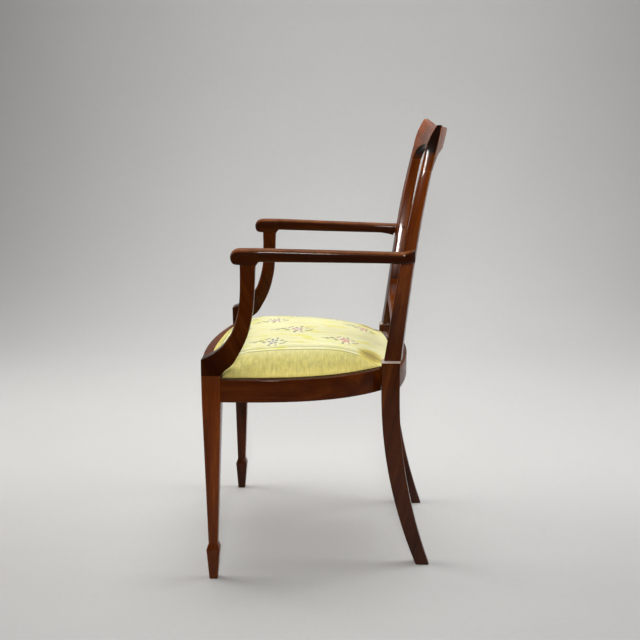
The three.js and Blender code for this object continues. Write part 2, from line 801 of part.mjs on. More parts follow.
// Height of the dome at a share of the way from its centre to a point on its outline
function padHeight(y, share) {
  const rearward = (y - legBack) / (rearLegFront - legBack);
  const power = lerp(padFrontPower, padRearPower, Math.max(0, rearward) ** 3);
  return railTop + padEdgeHeight + padCrown * (1 - share ** padPower) ** power;
}

// Domed pad with a drawn-in lower edge
function padBody() {
  const base = seatOutline(padDrawnIn).map(([x, y]) => [x, y, padBottom]);
  const outline = seatOutline(0);
  const dome = padRingShares.map((share) => (
    outline.map(([x, y]) => [x * share, lerp(padCentreY, y, share), padHeight(y, share)])));
  return skin([base, ...dome]);
}

// Chair, piece by piece
const chair = new THREE.Group();
const seatFrameGroup = new THREE.Group();
const backGroup = new THREE.Group();
const armGroup = new THREE.Group();
const upholstery = new THREE.Group();
const fixings = new THREE.Group();
chair.add(seatFrameGroup, backGroup, armGroup, upholstery, fixings);

function addPart(group, name, geometry, material) {
  const mesh = new THREE.Mesh(geometry, material);
  mesh.name = name;
  group.add(mesh);
  return mesh;
}

// Adds a piece of the sitter's left and its mirror image on the right
function addPair(group, name, solid, material) {
  addPart(group, `${name}_left`, geometryOf(solid, 1), material);
  addPart(group, `${name}_right`, geometryOf(solid, -1), material);
}

// The mirror image of a solid, for cutting a piece that spans the middle plane
function mirroredSolid(solid) {
  return solidOf(geometryOf(solid, -1));
}

function cutBothSides(solid, cutter) {
  return solid.subtract(cutter).subtract(mirroredSolid(cutter));
}

function joinBothSides(solid, addition) {
  return solid.add(addition).add(mirroredSolid(addition));
}

// Screw places
const seatScrewFront = [legInner - seatScrewInset, legBack];
const seatScrewRear = [rearLegInner - seatScrewInset, rearLegFront - seatScrewInset / 2];
const seatScrewLength = frameBottom + frameThickness / 2 - (rebateFloor - blockHeight);
const armScrewHeight = (armUnderRear + armTopRear) / 2;
const armScrewInner = stilePlace(armScrewHeight, stileWidth, stileDepthAt(armScrewHeight) / 2);
const armScrewFrom = [armScrewInner[0] + armPlugDepth, armScrewInner[1], armScrewInner[2]];
const armScrewHole = screwHole(armScrewFrom, [1, 0, 0], armScrewLength);

function buildBase() {
  const frontLeg = frontLegBody(0)
    .subtract(frontRailTenon(fit))
    .subtract(sideRailFrontTenon(fit))
    .subtract(legDowel(fit));
  addPair(seatFrameGroup, 'front_leg', frontLeg, mahogany);

  const frontRail = joinBothSides(frontRailBody(0), frontRailTenon(0));
  addPart(seatFrameGroup, 'front_rail', geometryOf(frontRail), mahogany);

  const sideRail = sideRailBody(0).add(sideRailFrontTenon(0)).add(sideRailRearTenon(0));
  addPair(seatFrameGroup, 'side_rail', sideRail, mahogany);

  const rearRail = joinBothSides(rearRailBody(0), rearRailTenon(0));
  addPart(seatFrameGroup, 'rear_rail', geometryOf(rearRail), mahogany);
}

// Block glued in the corner of two rails, notched round the leg
function cornerBlock(corner, outward, towardY, cutters, screwPlace) {
  const low = rebateFloor - blockHeight;
  const [x, y] = corner;
  const plan = [
    [x + outward, y - towardY * overrun],
    [x + outward, y + towardY * blockReach],
    [x - blockShoulder, y + towardY * blockReach],
    [x - blockReach, y + towardY * blockShoulder],
    [x - blockReach, y - towardY * overrun],
  ];
  const raw = skin([low, rebateFloor].map((z) => plan.map(([px, py]) => [px, py, z])));
  const cut = cutters.reduce((solid, cutter) => solid.subtract(cutter), raw);
  return cut.subtract(screwHole([...screwPlace, low], [0, 0, 1], seatScrewLength));
}

function buildBlocks() {
  const front = cornerBlock(
    [legInner, legBack - blockShoulder], blockShoulder, 1,
    [frontLegBody(fit), frontRailBody(fit), sideRailBody(fit)], seatScrewFront,
  );
  addPair(seatFrameGroup, 'front_corner_block', front, beech);
  const rear = cornerBlock(
    [rearLegInner, rearLegBack - rearRailThickness], overrun, -1,
    [rearLegBody(fit), rearRailBody(fit), sideRailBody(fit)], seatScrewRear,
  );
  addPair(seatFrameGroup, 'rear_corner_block', rear, beech);
}

function buildBack() {
  const stileCutter = rearLegBody(fit);
  const bars = barNames.map((name, i) => ({ name, place: i - 2 }));

  const footRail = bars.reduce(
    (solid, { place }) => solid.subtract(splatBar(place, fit)),
    cutBothSides(cutBothSides(footRailBody(0), stileCutter), footDowel(fit)),
  );
  addPart(backGroup, 'shield_foot_rail', geometryOf(footRail), mahogany);

  const crest = bars.reduce(
    (solid, { place }) => solid.subtract(splatBar(place, fit)),
    cutBothSides(crestBody(), stileTenon(fit)),
  );
  addPart(backGroup, 'crest_rail', geometryOf(crest), mahogany);

  for (const { name, place } of bars) {
    addPart(backGroup, name, geometryOf(splatBar(place, 0)), mahogany);
  }

  const rearLeg = rearLegBody(0)
    .add(stileTenon(0))
    .subtract(sideRailRearTenon(fit))
    .subtract(rearRailTenon(fit))
    .subtract(footDowel(fit))
    .subtract(armScrewHole);
  addPair(backGroup, 'rear_leg', rearLeg, mahogany);
  addPair(backGroup, 'shield_dowel', footDowel(0), beech);
}

function buildArms() {
  const support = supportBody(0).add(armTenon(0)).add(legDowel(0));
  addPair(armGroup, 'arm_support', support, mahogany);

  const arm = armBody()
    .subtract(rearLegBody(fit))
    .subtract(armTenon(fit))
    .subtract(armScrewHole);
  addPair(armGroup, 'arm', arm, mahogany);

  const plugEnd = [armScrewFrom[0] - fit, armScrewFrom[1], armScrewFrom[2]];
  const plug = rod(armScrewInner, plugEnd, screwHead, dowelSides);
  addPair(armGroup, 'arm_plug', plug, mahogany);

  for (const [side, name] of [[1, 'left'], [-1, 'right']]) {
    const screw = addPart(fixings, `arm_screw_${name}`, screwGeometry(armScrewLength), steel);
    screw.position.set(side * armScrewFrom[0], armScrewFrom[1], armScrewFrom[2]);
    screw.rotation.y = (side * Math.PI) / 2;
  }
}

// Loose frame of the seat, its webbing and base cloth, the pad and its screws
function buildSeat() {
  const ring = seatPlate(0, 1, frameBottom, frameTop)
    .subtract(seatPlate(0, frameWidthShare, frameBottom - overrun, frameTop + overrun));
  const frontEdge = legBack + frameFrontJoint;
  const rearEdge = rearLegFront - frameRearJoint;
  const far = legOuter + sideRailBow;
  const slab = (low, high) => box([-far, low, 0], [far, high, overallHeight]);
  const holes = [seatScrewFront, seatScrewRear].map((place) => (
    screwHole([...place, rebateFloor - blockHeight], [0, 0, 1], seatScrewLength)));
  const [frontHole, rearHole] = holes;
  const frontBar = cutBothSides(ring.intersect(slab(legFront - far, frontEdge)), frontHole);
  const rearBar = cutBothSides(ring.intersect(slab(rearEdge, rearEdge + far)), rearHole);
  addPart(upholstery, 'seat_frame_front', geometryOf(frontBar), beech);
  addPart(upholstery, 'seat_frame_rear', geometryOf(rearBar), beech);
  const middle = ring.intersect(slab(frontEdge + fit, rearEdge - fit));
  const leftHalf = box([0, -far, 0], [far, far, overallHeight]);
  addPair(upholstery, 'seat_frame_side', middle.intersect(leftHalf), beech);

  addStraps();

  const cloth = seatPlate(clothInset, 1, clothBottom, clothBottom + clothThickness);
  addPart(upholstery, 'base_cloth', geometryOf(cloth), jute);

  const pad = cutBothSides(padBody(), supportBody(padSupportGap));
  addPart(upholstery, 'seat_pad', geometryOf(pad), needlework);

  for (const [place, end] of [[seatScrewFront, 'front'], [seatScrewRear, 'rear']]) {
    for (const [side, name] of [[1, 'left'], [-1, 'right']]) {
      const screw = addPart(fixings, `seat_screw_${end}_${name}`, screwGeometry(seatScrewLength), steel);
      screw.position.set(side * place[0], place[1], rebateFloor - blockHeight);
    }
  }
}

// Two layers of webbing: straps from front to back, then straps from side to side
function addStraps() {
  const frontY = frontRailY(0) + frontRim + seatClear + strapLap / 2;
  const rearY = rearLegFront - seatClear;
  for (let i = 0; i < lengthStraps; i += 1) {
    const geometry = new THREE.BoxGeometry(strapWidth, rearY - frontY - strapLap, strapThickness);
    const strap = addPart(upholstery, `webbing_length_${i + 1}`, geometry, jute);
    const x = (i - (lengthStraps - 1) / 2) * strapPitch;
    strap.position.set(x, (frontY + rearY + strapLap) / 2, strapOneBottom + strapThickness / 2);
  }
  for (let i = 0; i < crossStraps; i += 1) {
    const y = frontLegY + frontLegSize + strapPitch / 2 + i * strapPitch;
    const share = (y - legBack) / (rearLegFront - legBack);
    const half = sideRailPlace(share, sideRim + seatClear)[0] - strapLap;
    const geometry = new THREE.BoxGeometry(2 * half, strapWidth, strapThickness);
    const strap = addPart(upholstery, `webbing_cross_${i + 1}`, geometry, jute);
    strap.position.set(0, y, strapTwoBottom + strapThickness / 2);
  }
}

buildBase();
buildBlocks();
buildBack();
buildArms();
buildSeat();

// The origin is on the floor under the middle of the chair's outer box
const bounds = new THREE.Box3().setFromObject(chair);
const middle = bounds.getCenter(new THREE.Vector3());
chair.position.set(-middle.x, -middle.y, -bounds.min.z);
chair.updateMatrixWorld(true);

export default chair;
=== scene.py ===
import math
import bmesh
import bpy
from mathutils import Matrix, Vector, noise


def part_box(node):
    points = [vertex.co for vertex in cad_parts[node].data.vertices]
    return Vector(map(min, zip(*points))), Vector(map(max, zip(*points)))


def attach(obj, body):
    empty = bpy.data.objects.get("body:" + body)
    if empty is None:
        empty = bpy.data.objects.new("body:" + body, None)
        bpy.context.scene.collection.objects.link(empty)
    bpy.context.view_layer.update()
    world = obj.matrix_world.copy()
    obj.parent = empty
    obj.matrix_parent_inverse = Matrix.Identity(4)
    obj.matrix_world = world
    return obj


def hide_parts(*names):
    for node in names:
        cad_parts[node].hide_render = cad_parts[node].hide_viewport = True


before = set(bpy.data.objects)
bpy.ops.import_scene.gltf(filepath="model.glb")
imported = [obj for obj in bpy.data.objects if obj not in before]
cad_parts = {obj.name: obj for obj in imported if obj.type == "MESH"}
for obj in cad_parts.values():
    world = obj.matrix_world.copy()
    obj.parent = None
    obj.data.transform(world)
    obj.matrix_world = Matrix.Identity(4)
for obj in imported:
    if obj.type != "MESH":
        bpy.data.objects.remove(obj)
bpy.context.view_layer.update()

# Sizes shared with the source: millimetres, in its own frame
FIT = 0.3
OVERALL, RAIL_TOP, RAIL_HEIGHT = 955, 444.5, 47.5
RAIL_BOTTOM = RAIL_TOP - RAIL_HEIGHT
LEDGE = RAIL_TOP + 20  # where the rear leg becomes the stile
JOINT = OVERALL - 90  # of stile and crest
LEG_X, LEG_Y, LEG_SIZE, LEG_TOP = 264.5, -212.5, 39, RAIL_TOP + 8.5
LEG_INNER, LEG_OUTER = LEG_X - LEG_SIZE / 2, LEG_X + LEG_SIZE / 2
LEG_FRONT, LEG_BACK = LEG_Y - LEG_SIZE / 2, LEG_Y + LEG_SIZE / 2
SEAT_DEPTH = 331  # between the front and the rear legs
REAR_INNER, REAR_WIDTH, REAR_DEPTH = 169, 34, 39
REAR_OUTER, REAR_FRONT = REAR_INNER + REAR_WIDTH, LEG_BACK + SEAT_DEPTH
REAR_BACK = REAR_FRONT + REAR_DEPTH

# How far the CAD frame lies from that one along y
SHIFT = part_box("front_leg_left")[1].y * 1000 - LEG_BACK

# Camera, fitted to the photograph: pixels, metres and degrees
IMAGE_SIZE, FOCAL_LENGTH = 640, 1050
CAMERA_X, CAMERA_Y, CAMERA_Z = 2.3428, 0.10, 1.023
AZIMUTH, PITCH, ROLL = 92.4473, 12.3508, -0.1863


def camera_axes():
    a, p, r = (math.radians(v) for v in (AZIMUTH, PITCH, ROLL))
    ahead = Vector((-math.sin(a) * math.cos(p), math.cos(a) * math.cos(p), -math.sin(p)))
    right = Vector((math.cos(a), math.sin(a), 0))
    right = right * math.cos(r) + right.cross(ahead) * math.sin(r)
    return Matrix((right, right.cross(ahead), -ahead)).transposed().to_4x4()


cam = bpy.data.objects.new("camera", bpy.data.cameras.new("camera"))
bpy.context.collection.objects.link(cam)
bpy.context.scene.camera = cam
cam.data.sensor_width = 36
cam.data.lens = 36 * FOCAL_LENGTH / IMAGE_SIZE
cam.data.clip_end = 50
cam.matrix_world = Matrix.Translation((CAMERA_X, CAMERA_Y + SHIFT / 1000, CAMERA_Z)) @ camera_axes()


# Shapes are worked out in millimetres in the source's own frame, then placed in the CAD frame.
def lerp(a, b, t):
    return a + (b - a) * t


def even(low, high, count):
    return [lerp(low, high, i / count) for i in range(count + 1)]


def smooth(rows, at):
    """Smooth curve through rows of (place, value)."""
    last = len(rows) - 1
    i = 0
    while i < last - 1 and at > rows[i + 1][0]:
        i += 1

    def slope(k):
        a, b = max(k - 1, 0), min(k + 1, last)
        return (rows[b][1] - rows[a][1]) / (rows[b][0] - rows[a][0])

    span = rows[i + 1][0] - rows[i][0]
    t = (at - rows[i][0]) / span
    s = 1 - t
    return (rows[i][1] * s * s * (1 + 2 * t) + rows[i + 1][1] * t * t * (1 + 2 * s)
            + span * (slope(i) * s * s * t - slope(i + 1) * t * t * s))


def curve(points, count):
    """Even walk along a Catmull-Rom curve through points."""
    pts = [points[0]] + list(points) + [points[-1]]
    fine = []
    for i in range(1, len(pts) - 2):
        for s in range(24):
            t = s / 24
            a, b, c, d = pts[i - 1], pts[i], pts[i + 1], pts[i + 2]
            fine.append(tuple(0.5 * (2 * b[k] + (c[k] - a[k]) * t + (2 * a[k] - 5 * b[k] + 4 * c[k] - d[k]) * t * t
                                     + (3 * b[k] - a[k] - 3 * c[k] + d[k]) * t ** 3) for k in range(len(b))))
    fine.append(tuple(points[-1]))
    run = [0.0]
    for p, q in zip(fine, fine[1:]):
        run.append(run[-1] + math.dist(p, q))
    out = []
    j = 0
    for i in range(count + 1):
        target = run[-1] * i / count
        while j < len(run) - 2 and run[j + 1] < target:
            j += 1
        t = (target - run[j]) / max(run[j + 1] - run[j], 1e-9)
        out.append(tuple(lerp(fine[j][k], fine[j + 1][k], t) for k in range(len(fine[0]))))
    return out


def section(w, d, radii, crown=0.0, face=3, arc=5):
    """Rounded rectangle as (across, deep) points, with face steps along a side and arc steps round a corner.
    Its two ends across may be crowned, alike or each its own way."""
    corners = [(0, 0), (w, 0), (w, d), (0, d)]
    points = []
    for k, (cx, cy) in enumerate(corners):
        r = radii[k]
        ox = cx + (r if cx == 0 else -r)
        oy = cy + (r if cy == 0 else -r)
        for i in range(arc + 1):
            a = math.radians(180 + 90 * k + 90 * i / arc)
            points.append((ox + r * math.cos(a), oy + r * math.sin(a)))
        nx, ny = corners[(k + 1) % 4]
        nr = radii[(k + 1) % 4]
        ex = nx + (nr if nx == 0 else -nr) if ny == cy else nx
        ey = ny if ny == cy else ny + (nr if ny == 0 else -nr)
        sx, sy = points[-1]
        for i in range(1, face):
            points.append((lerp(sx, ex, i / face), lerp(sy, ey, i / face)))
    near, far = crown if isinstance(crown, tuple) else (crown, crown)
    bend = []
    for x, y in points:
        q = (2 * y / d - 1) ** 2
        bend.append((x + q * lerp(near, -far, x / w), y))
    return bend


def place(p):
    return (p[0] / 1000, (p[1] + SHIFT) / 1000, p[2] / 1000)


def finish_piece(obj, node, material, sharp):
    """Cleans a piece's mesh and hands it over as the dress of a CAD node."""
    bm = bmesh.new()
    bm.from_mesh(obj.data)
    bmesh.ops.remove_doubles(bm, verts=bm.verts, dist=1e-6)
    bmesh.ops.recalc_face_normals(bm, faces=bm.faces)
    bm.to_mesh(obj.data)
    bm.free()
    for poly in obj.data.polygons:
        poly.use_smooth = True
    obj.data.set_sharp_from_angle(angle=math.radians(sharp))
    obj.data.materials.append(material)
    bpy.context.collection.objects.link(obj)
    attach(obj, "root")
    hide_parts(node)


def loft(node, rings, material, sharp=38):
    """Closed skin over rings of equal count, in place of a CAD node."""
    mesh = bpy.data.meshes.new(f"viz_{node}")
    count = len(rings[0])
    verts = [place(p) for ring in rings for p in ring]
    faces = []
    for r in range(len(rings) - 1):
        for p in range(count):
            a, b = r * count + p, r * count + (p + 1) % count
            faces.append((a, b, b + count, a + count))
    faces.append(tuple(range(count)))
    faces.append(tuple(range((len(rings) - 1) * count, len(rings) * count)))
    mesh.from_pydata(verts, [], faces)
    finish_piece(bpy.data.objects.new(f"viz_{node}", mesh), node, material, sharp)


def pair(node, rings, material, sharp=38):
    loft(f"{node}_left", rings, material, sharp)
    loft(f"{node}_right", [[(-x, y, z) for x, y, z in ring] for ring in rings], material, sharp)


# Node trees
class Tree:
    def __init__(self, tree):
        self.tree = tree

    def feed(self, node, inputs):
        """Links sockets to a node's inputs and sets plain values on them."""
        for key, value in inputs.items():
            if isinstance(value, bpy.types.NodeSocket):
                self.tree.links.new(value, node.inputs[key])
            else:
                node.inputs[key].default_value = value

    def node(self, kind, inputs=None, **props):
        n = self.tree.nodes.new(f"ShaderNode{kind}")
        for key, value in props.items():
            setattr(n, key, value)
        self.feed(n, inputs or {})
        return n

    def coords(self):
        return self.node("TexCoord").outputs["Object"]

    def split(self, vector):
        return self.node("SeparateXYZ", {0: vector}).outputs

    def speckle(self, vector):
        return self.node("TexWhiteNoise", {0: vector}, noise_dimensions="2D").outputs[0]

    def math(self, op, a, b=0.0, c=0.0):
        return self.node("Math", {0: a, 1: b, 2: c}, operation=op).outputs[0]

    def times(self, a, b):
        return self.math("MULTIPLY", a, b)

    def minus(self, a, b):
        return self.math("SUBTRACT", a, b)

    def gap(self, a, b):
        return self.math("ABSOLUTE", self.minus(a, b))

    def squares(self, a, b):
        return self.math("ADD", self.times(a, a), self.times(b, b))

    def mix(self, factor, a, b, blend="MIX"):
        n = self.node("Mix", data_type="RGBA", blend_type=blend)
        self.feed(n, {0: factor, 6: a, 7: b})
        return n.outputs[2]

    def ramp(self, factor, stops, mode="LINEAR"):
        n = self.node("ValToRGB", {0: factor})
        n.color_ramp.interpolation = mode
        while len(n.color_ramp.elements) < len(stops):
            n.color_ramp.elements.new(0.5)
        for element, (at, colour) in zip(n.color_ramp.elements, stops):
            element.position = at
            element.color = colour if isinstance(colour, tuple) else rgb(colour, colour, colour)
        return n.outputs[0]

    def span(self, value, low, high, to_low=0.0, to_high=1.0):
        return self.node("MapRange", {0: value, 1: low, 2: high, 3: to_low, 4: to_high}).outputs[0]

    def noise(self, vector, scale, detail=4.0, rough=0.5, distortion=0.0):
        inputs = {"Vector": vector, "Scale": scale, "Detail": detail, "Roughness": rough, "Distortion": distortion}
        return self.node("TexNoise", inputs).outputs[0]

    def stretched(self, vector, scale, detail, rough=0.5, distortion=0.0):
        """Noise over coordinates scaled by axis."""
        scaled = self.node("Mapping", {"Vector": vector, "Scale": scale}).outputs[0]
        return self.noise(scaled, 1.0, detail, rough, distortion)

    def bump(self, height, strength, distance, normal=None):
        inputs = {"Height": height, "Strength": strength, "Distance": distance}
        if normal is not None:
            inputs["Normal"] = normal
        return self.node("Bump", inputs).outputs[0]


def rgb(r, g, b):
    return (r, g, b, 1)


def new_material(name):
    mat = bpy.data.materials.new(name)
    mat.use_nodes = True
    mat.node_tree.nodes.clear()
    t = Tree(mat.node_tree)
    shader = t.node("BsdfPrincipled")
    t.node("OutputMaterial", {0: shader.outputs[0]})
    return mat, t, shader


def wood(name, axis, tone=1.0, red=0.0, lean=0.0, gloss=1.0, wear=0.0, end_grain_and_under_shade=False, tone_and_shade_by_height=(), inner=1.0,
         ledge=None):
    """French-polished mahogany: grain along one axis, leaning by an angle toward Y; wear roughens upper faces
    and lightens them, partly as rubbing and partly as painted light from above. The dark-ends switch deepens
    the crest's end grain and paints shade on faces that look down. The rows of tone by height in metres are
    painted light and shade, and inner darkens faces that look inward as painted shade. An upward face within
    the ledge's two heights is pale as a painted highlight."""
    mat, t, shader = new_material(name)
    coords = t.coords()
    across, _, height = t.split(coords)
    geometry = t.node("NewGeometry").outputs
    normal = t.split(geometry["Normal"])

    # grain: each piece is cut from its own place in the plank
    turn = {"x": (0, 0, 0), "y": (0, 0, math.radians(-90)), "z": (0, math.radians(90), math.radians(lean))}[axis]
    turned = t.node("Mapping", {"Vector": coords, "Rotation": turn}).outputs[0]
    own = t.node("ObjectInfo").outputs["Random"]
    own_place = t.node("CombineXYZ", {0: t.times(own, 7.0), 1: t.times(own, 3.1), 2: own})
    plank = t.node("VectorMath", {0: turned, 1: own_place.outputs[0]}, operation="ADD").outputs[0]
    figure = t.stretched(plank, (1.6, 16, 16), 5, 0.55, 1.2)
    bands = t.stretched(plank, (0.9, 42, 42), 3, 0.5, 0.4)
    streaks = t.stretched(plank, (7, 330, 330), 4, 0.6)
    pores = t.span(t.stretched(plank, (45, 1500, 1500), 2, 0.5), 0.62, 0.72)

    def tint(r, g, b):
        return rgb(r * tone, g * tone * (1 - 0.2 * red), b * tone)

    blend = t.math("MULTIPLY_ADD", bands, 0.30, t.times(streaks, 0.20))
    blend = t.math("MULTIPLY_ADD", figure, 0.5, blend)
    colour = t.ramp(blend, [(0.34, tint(0.042, 0.0078, 0.0006)), (0.5, tint(0.098, 0.0195, 0.0014)),
                            (0.68, tint(0.21, 0.053, 0.004))])
    colour = t.mix(t.times(pores, 0.4), colour, rgb(0.014, 0.003, 0.0008))

    # use: grime in patches, worn edges, upper faces lighter as rubbing and painted light, and darker places, partly
    # end grain and partly painted shade
    grime = t.noise(coords, 9.0, 4, 0.6)
    colour = t.mix(t.span(grime, 0.35, 0.7, 0.0, 0.25), colour, rgb(0.018, 0.004, 0.001))
    worn = t.span(geometry["Pointiness"], 0.53, 0.64, 0.0, 0.3)
    colour = t.mix(worn, colour, tint(0.30, 0.090, 0.018))
    rough = t.span(t.noise(coords, 22.0, 3, 0.6), 0.3, 0.75, 0.2, 0.34)
    if wear:
        # upper faces lighter: partly rubbed wear, partly painted light from above
        lit_and_rubbed_top = t.span(normal[2], 0.1, 0.8, 0.0, wear)
        patchy = t.span(t.noise(coords, 30.0, 4, 0.6), 0.3, 0.6, 0.5, 1.0)
        colour = t.mix(t.times(lit_and_rubbed_top, patchy), colour, rgb(0.27, 0.085, 0.022))
        rough = t.math("MULTIPLY_ADD", lit_and_rubbed_top, 0.22, t.math("ADD", rough, 0.08))
    if end_grain_and_under_shade:
        sideways = t.span(t.math("ABSOLUTE", normal[0]), 0.55, 0.85)
        ends = t.times(sideways, t.span(height, 0.888, 0.903))
        # faces that look down go dark: painted shade under the crest
        under_shade = t.span(normal[2], -0.3, -0.75)
        colour = t.mix(t.math("MAXIMUM", ends, under_shade), colour, rgb(0.012, 0.004, 0.002))
    if tone_and_shade_by_height:
        # tone by height: painted light and shade, with a little uneven tone from noise
        uneven = t.math("MULTIPLY_ADD", t.minus(t.noise(coords, 12.0, 2), 0.5), 0.06, height)
        halves = t.ramp(uneven, [(z, factor / 2) for z, factor in tone_and_shade_by_height], "B_SPLINE")
        colour = t.mix(1.0, colour, t.times(halves, 2.0), "MULTIPLY")
    if ledge:
        low, high = ledge
        # upward faces of the ledge paled: a painted highlight
        inside = t.times(t.math("GREATER_THAN", height, low), t.math("LESS_THAN", height, high))
        painted_ledge_glint = t.times(inside, t.span(normal[2], 0.3, 0.5, 0.0, 0.8))
        colour = t.mix(painted_ledge_glint, colour, rgb(0.50, 0.40, 0.34))
    if inner < 1:
        # inward-looking faces darkened: painted shade
        facing = t.times(t.math("SIGN", across), normal[0])
        colour = t.mix(1.0, colour, t.span(facing, -0.6, -0.2, inner, 1.0), "MULTIPLY")

    relief = t.minus(t.times(streaks, 0.3), pores)
    uneven_face = t.bump(t.noise(coords, 11.0, 1, 0.5), 0.05, 0.003)
    t.feed(shader, {
        "Base Color": colour, "Roughness": t.math("ADD", rough, t.times(pores, 0.12)),
        "Normal": t.bump(relief, 0.04, 0.0002, uneven_face), "Specular IOR Level": 0.03 * gloss,
        "Coat Weight": 0.42 * gloss, "Coat Roughness": 0.07, "Coat IOR": 1.38})
    return mat


# Rows of height in metres and tone factor: painted light and shade, lighter where a piece looks lit, darker low down
# and under the seat
LEG_HEIGHT_SHADING = [(0, 0.8), (0.1, 1.05), (0.3, 1.5), (0.4, 1.6), (0.46, 0.7)]
STILE_HEIGHT_SHADING = [(0, 0.4), (0.15, 0.5), (0.3, 0.8), (0.42, 0.75), (0.5, 0.42), (0.58, 0.6), (0.68, 1.45), (0.85, 1.55)]
SUPPORT_HEIGHT_SHADING = [(0.44, 0.35), (0.49, 0.45), (0.56, 0.75), (0.66, 0.85)]
CREST_HEIGHT_SHADING = [(0.86, 0.6), (0.89, 0.7), (0.92, 1.0), (0.955, 1.15)]
# Heights of the ledge's painted highlight
LEDGE_GLINT = ((LEDGE - 3.3) / 1000, (LEDGE + 0.5) / 1000)
# Tones differ by piece as painted light and shade: the crest much lighter where it looks lit, the arms much darker
wood_leg = wood("mahogany_leg", "z", 1.15, 0.1, tone_and_shade_by_height=LEG_HEIGHT_SHADING, inner=0.45)
wood_stile = wood("mahogany_stile", "z", 0.88, 0.1, -12, 1.3, tone_and_shade_by_height=STILE_HEIGHT_SHADING, ledge=LEDGE_GLINT)
wood_support = wood("mahogany_support", "z", 0.72, 0.2, 25, 0.5, tone_and_shade_by_height=SUPPORT_HEIGHT_SHADING)
wood_across = wood("mahogany_across", "x", 1.1, 0.1, gloss=0.4)
wood_rail = wood("mahogany_rail", "y", 0.66, 0.3, gloss=0.8)
wood_along = wood("mahogany_along", "y", 0.3, 0.1, gloss=0.6, wear=0.75)
wood_crest = wood("mahogany_crest", "x", 2.5, -0.3, gloss=0.6, end_grain_and_under_shade=True, tone_and_shade_by_height=CREST_HEIGHT_SHADING)


# Front legs: rows of height and size up to the ankle, then a straight taper to the rails
TOE_FORWARD, ANKLE_TOP, ANKLE_SIZE = 6.5, 83.5, 19.6
SPADE = [(0, 16.2), (0.8, 17.5), (30, 22.1), (60, 26.8), (66.5, 27.9), (68, 28), (69.2, 27.5), (80.4, 20.2),
         (81.5, 19.5), (83.5, 19.5)]


def front_leg_rings():
    taper = zip(even(ANKLE_TOP, RAIL_BOTTOM, 10)[1:], even(ANKLE_SIZE, LEG_SIZE, 10)[1:])
    rows = SPADE + list(taper) + [(420, LEG_SIZE), (LEG_TOP - 0.4, LEG_SIZE), (LEG_TOP, LEG_SIZE - 0.8)]
    rings = []
    for z, size in rows:
        centre = LEG_Y - TOE_FORWARD * max(0, 1 - z / RAIL_BOTTOM)
        r = min(1.6, size * 0.06)
        rings.append([(LEG_X + size / 2 - a, centre - size / 2 + d, z)
                      for a, d in section(size, size, [r] * 4, 0, 2, 3)])
    return rings


pair("front_leg", front_leg_rings(), wood_leg, sharp=24)

# The back: one bowed and raked surface that every piece of the shield follows
BACK_BASE, BACK_SETBACK, BACK_LEAN, BACK_SWEEP, BACK_RADIUS = 500, 28.2, 72.8, 15.7, 1050
HALF_WIDTH, STILE_WIDTH, STILE_DEPTH, CREST_DEPTH, STILE_THIN_POWER = 236, 26, 36, 22, 0.75
OUTLINE = [(0, 0.826), (0.09, 0.83), (0.19, 0.856), (0.29, 0.892), (0.39, 0.93), (0.49, 0.966), (0.59, 0.992),
           (0.67, 1), (0.73, 0.996), (0.79, 0.986), (0.85, 0.970), (0.9, 0.955), (0.95, 0.954), (1, 0.978)]


def back_front(x, z):
    """Where the front of the shield lies along y."""
    t = (z - BACK_BASE) / (OVERALL - BACK_BASE)
    return REAR_FRONT + BACK_SETBACK + BACK_LEAN * t + BACK_SWEEP * t * t - x * x / (2 * BACK_RADIUS)


def outline_x(z):
    return HALF_WIDTH * smooth(OUTLINE, (z - LEDGE) / (OVERALL - LEDGE))


def stile_depth(z):
    return lerp(STILE_DEPTH, CREST_DEPTH, (max(0, z - LEDGE) / (JOINT - LEDGE)) ** STILE_THIN_POWER)


def stile_place(z, across, deep):
    """A point of the stile, square to its outline at a height."""
    step = 0.3
    slope = (outline_x(z + step) - outline_x(z - step)) / (2 * step)
    length = math.hypot(1, slope)
    x = outline_x(z) - across / length
    height = z + across * slope / length
    return (x, back_front(x, height) + deep, height)


# Rear legs and stiles in one length. Radii at the joint: outer front, inner front, inner rear, outer rear.
REAR_SWEEP, REAR_FOOT_OUTER, REAR_FOOT_WIDTH, REAR_FOOT_DEPTH = 79, 190, 26, 29.5
STILE_RADIUS, STILE_END = 2.5, (6.0, 2.0, 3.5, 4.0)
STILE_CROWN = (0.9, 0.3)
ROUND_FROM, ROUND_OVER = 560, 140  # heights over which the outer front edge grows round


def leg_ring(z, inset):
    fall = max(0, (RAIL_BOTTOM - z) / RAIL_BOTTOM)
    front = REAR_FRONT + REAR_SWEEP * fall * fall
    d = lerp(REAR_DEPTH, REAR_FOOT_DEPTH, fall * fall) - 2 * inset
    w = lerp(REAR_WIDTH, REAR_FOOT_WIDTH, fall) - 2 * inset
    outer = lerp(REAR_OUTER, REAR_FOOT_OUTER, fall) - inset
    r = lerp(2.2, 2.8, fall)
    return [(outer - a, front + inset + q, z) for a, q in section(w, d, [r] * 4, 0, 3, 4)]


def stile_ring(z):
    share = min(1, (z - LEDGE) / 200)
    round_front = lerp(STILE_RADIUS, STILE_END[0], min(1, max(0, z - ROUND_FROM) / ROUND_OVER))
    radii = [round_front, STILE_END[1]] + [lerp(STILE_RADIUS, end, share) for end in STILE_END[2:]]
    crown = (lerp(0.4, STILE_CROWN[0], share), STILE_CROWN[1])
    return [stile_place(z, a, q) for a, q in section(STILE_WIDTH, stile_depth(z), radii, crown, 6, 5)]


def rear_leg_rings():
    rows = [(0, 1.0), (1.0, 0)] + [(z, 0) for z in even(0, RAIL_BOTTOM, 28)[1:]]
    rows += [(415, 0), (435, 0), (LEDGE - 6, 0), (LEDGE - 3.3, 0.15), (LEDGE - 2.9, 0.5)]
    return [leg_ring(z, inset) for z, inset in rows] + [stile_ring(z) for z in even(LEDGE, JOINT, 60)]


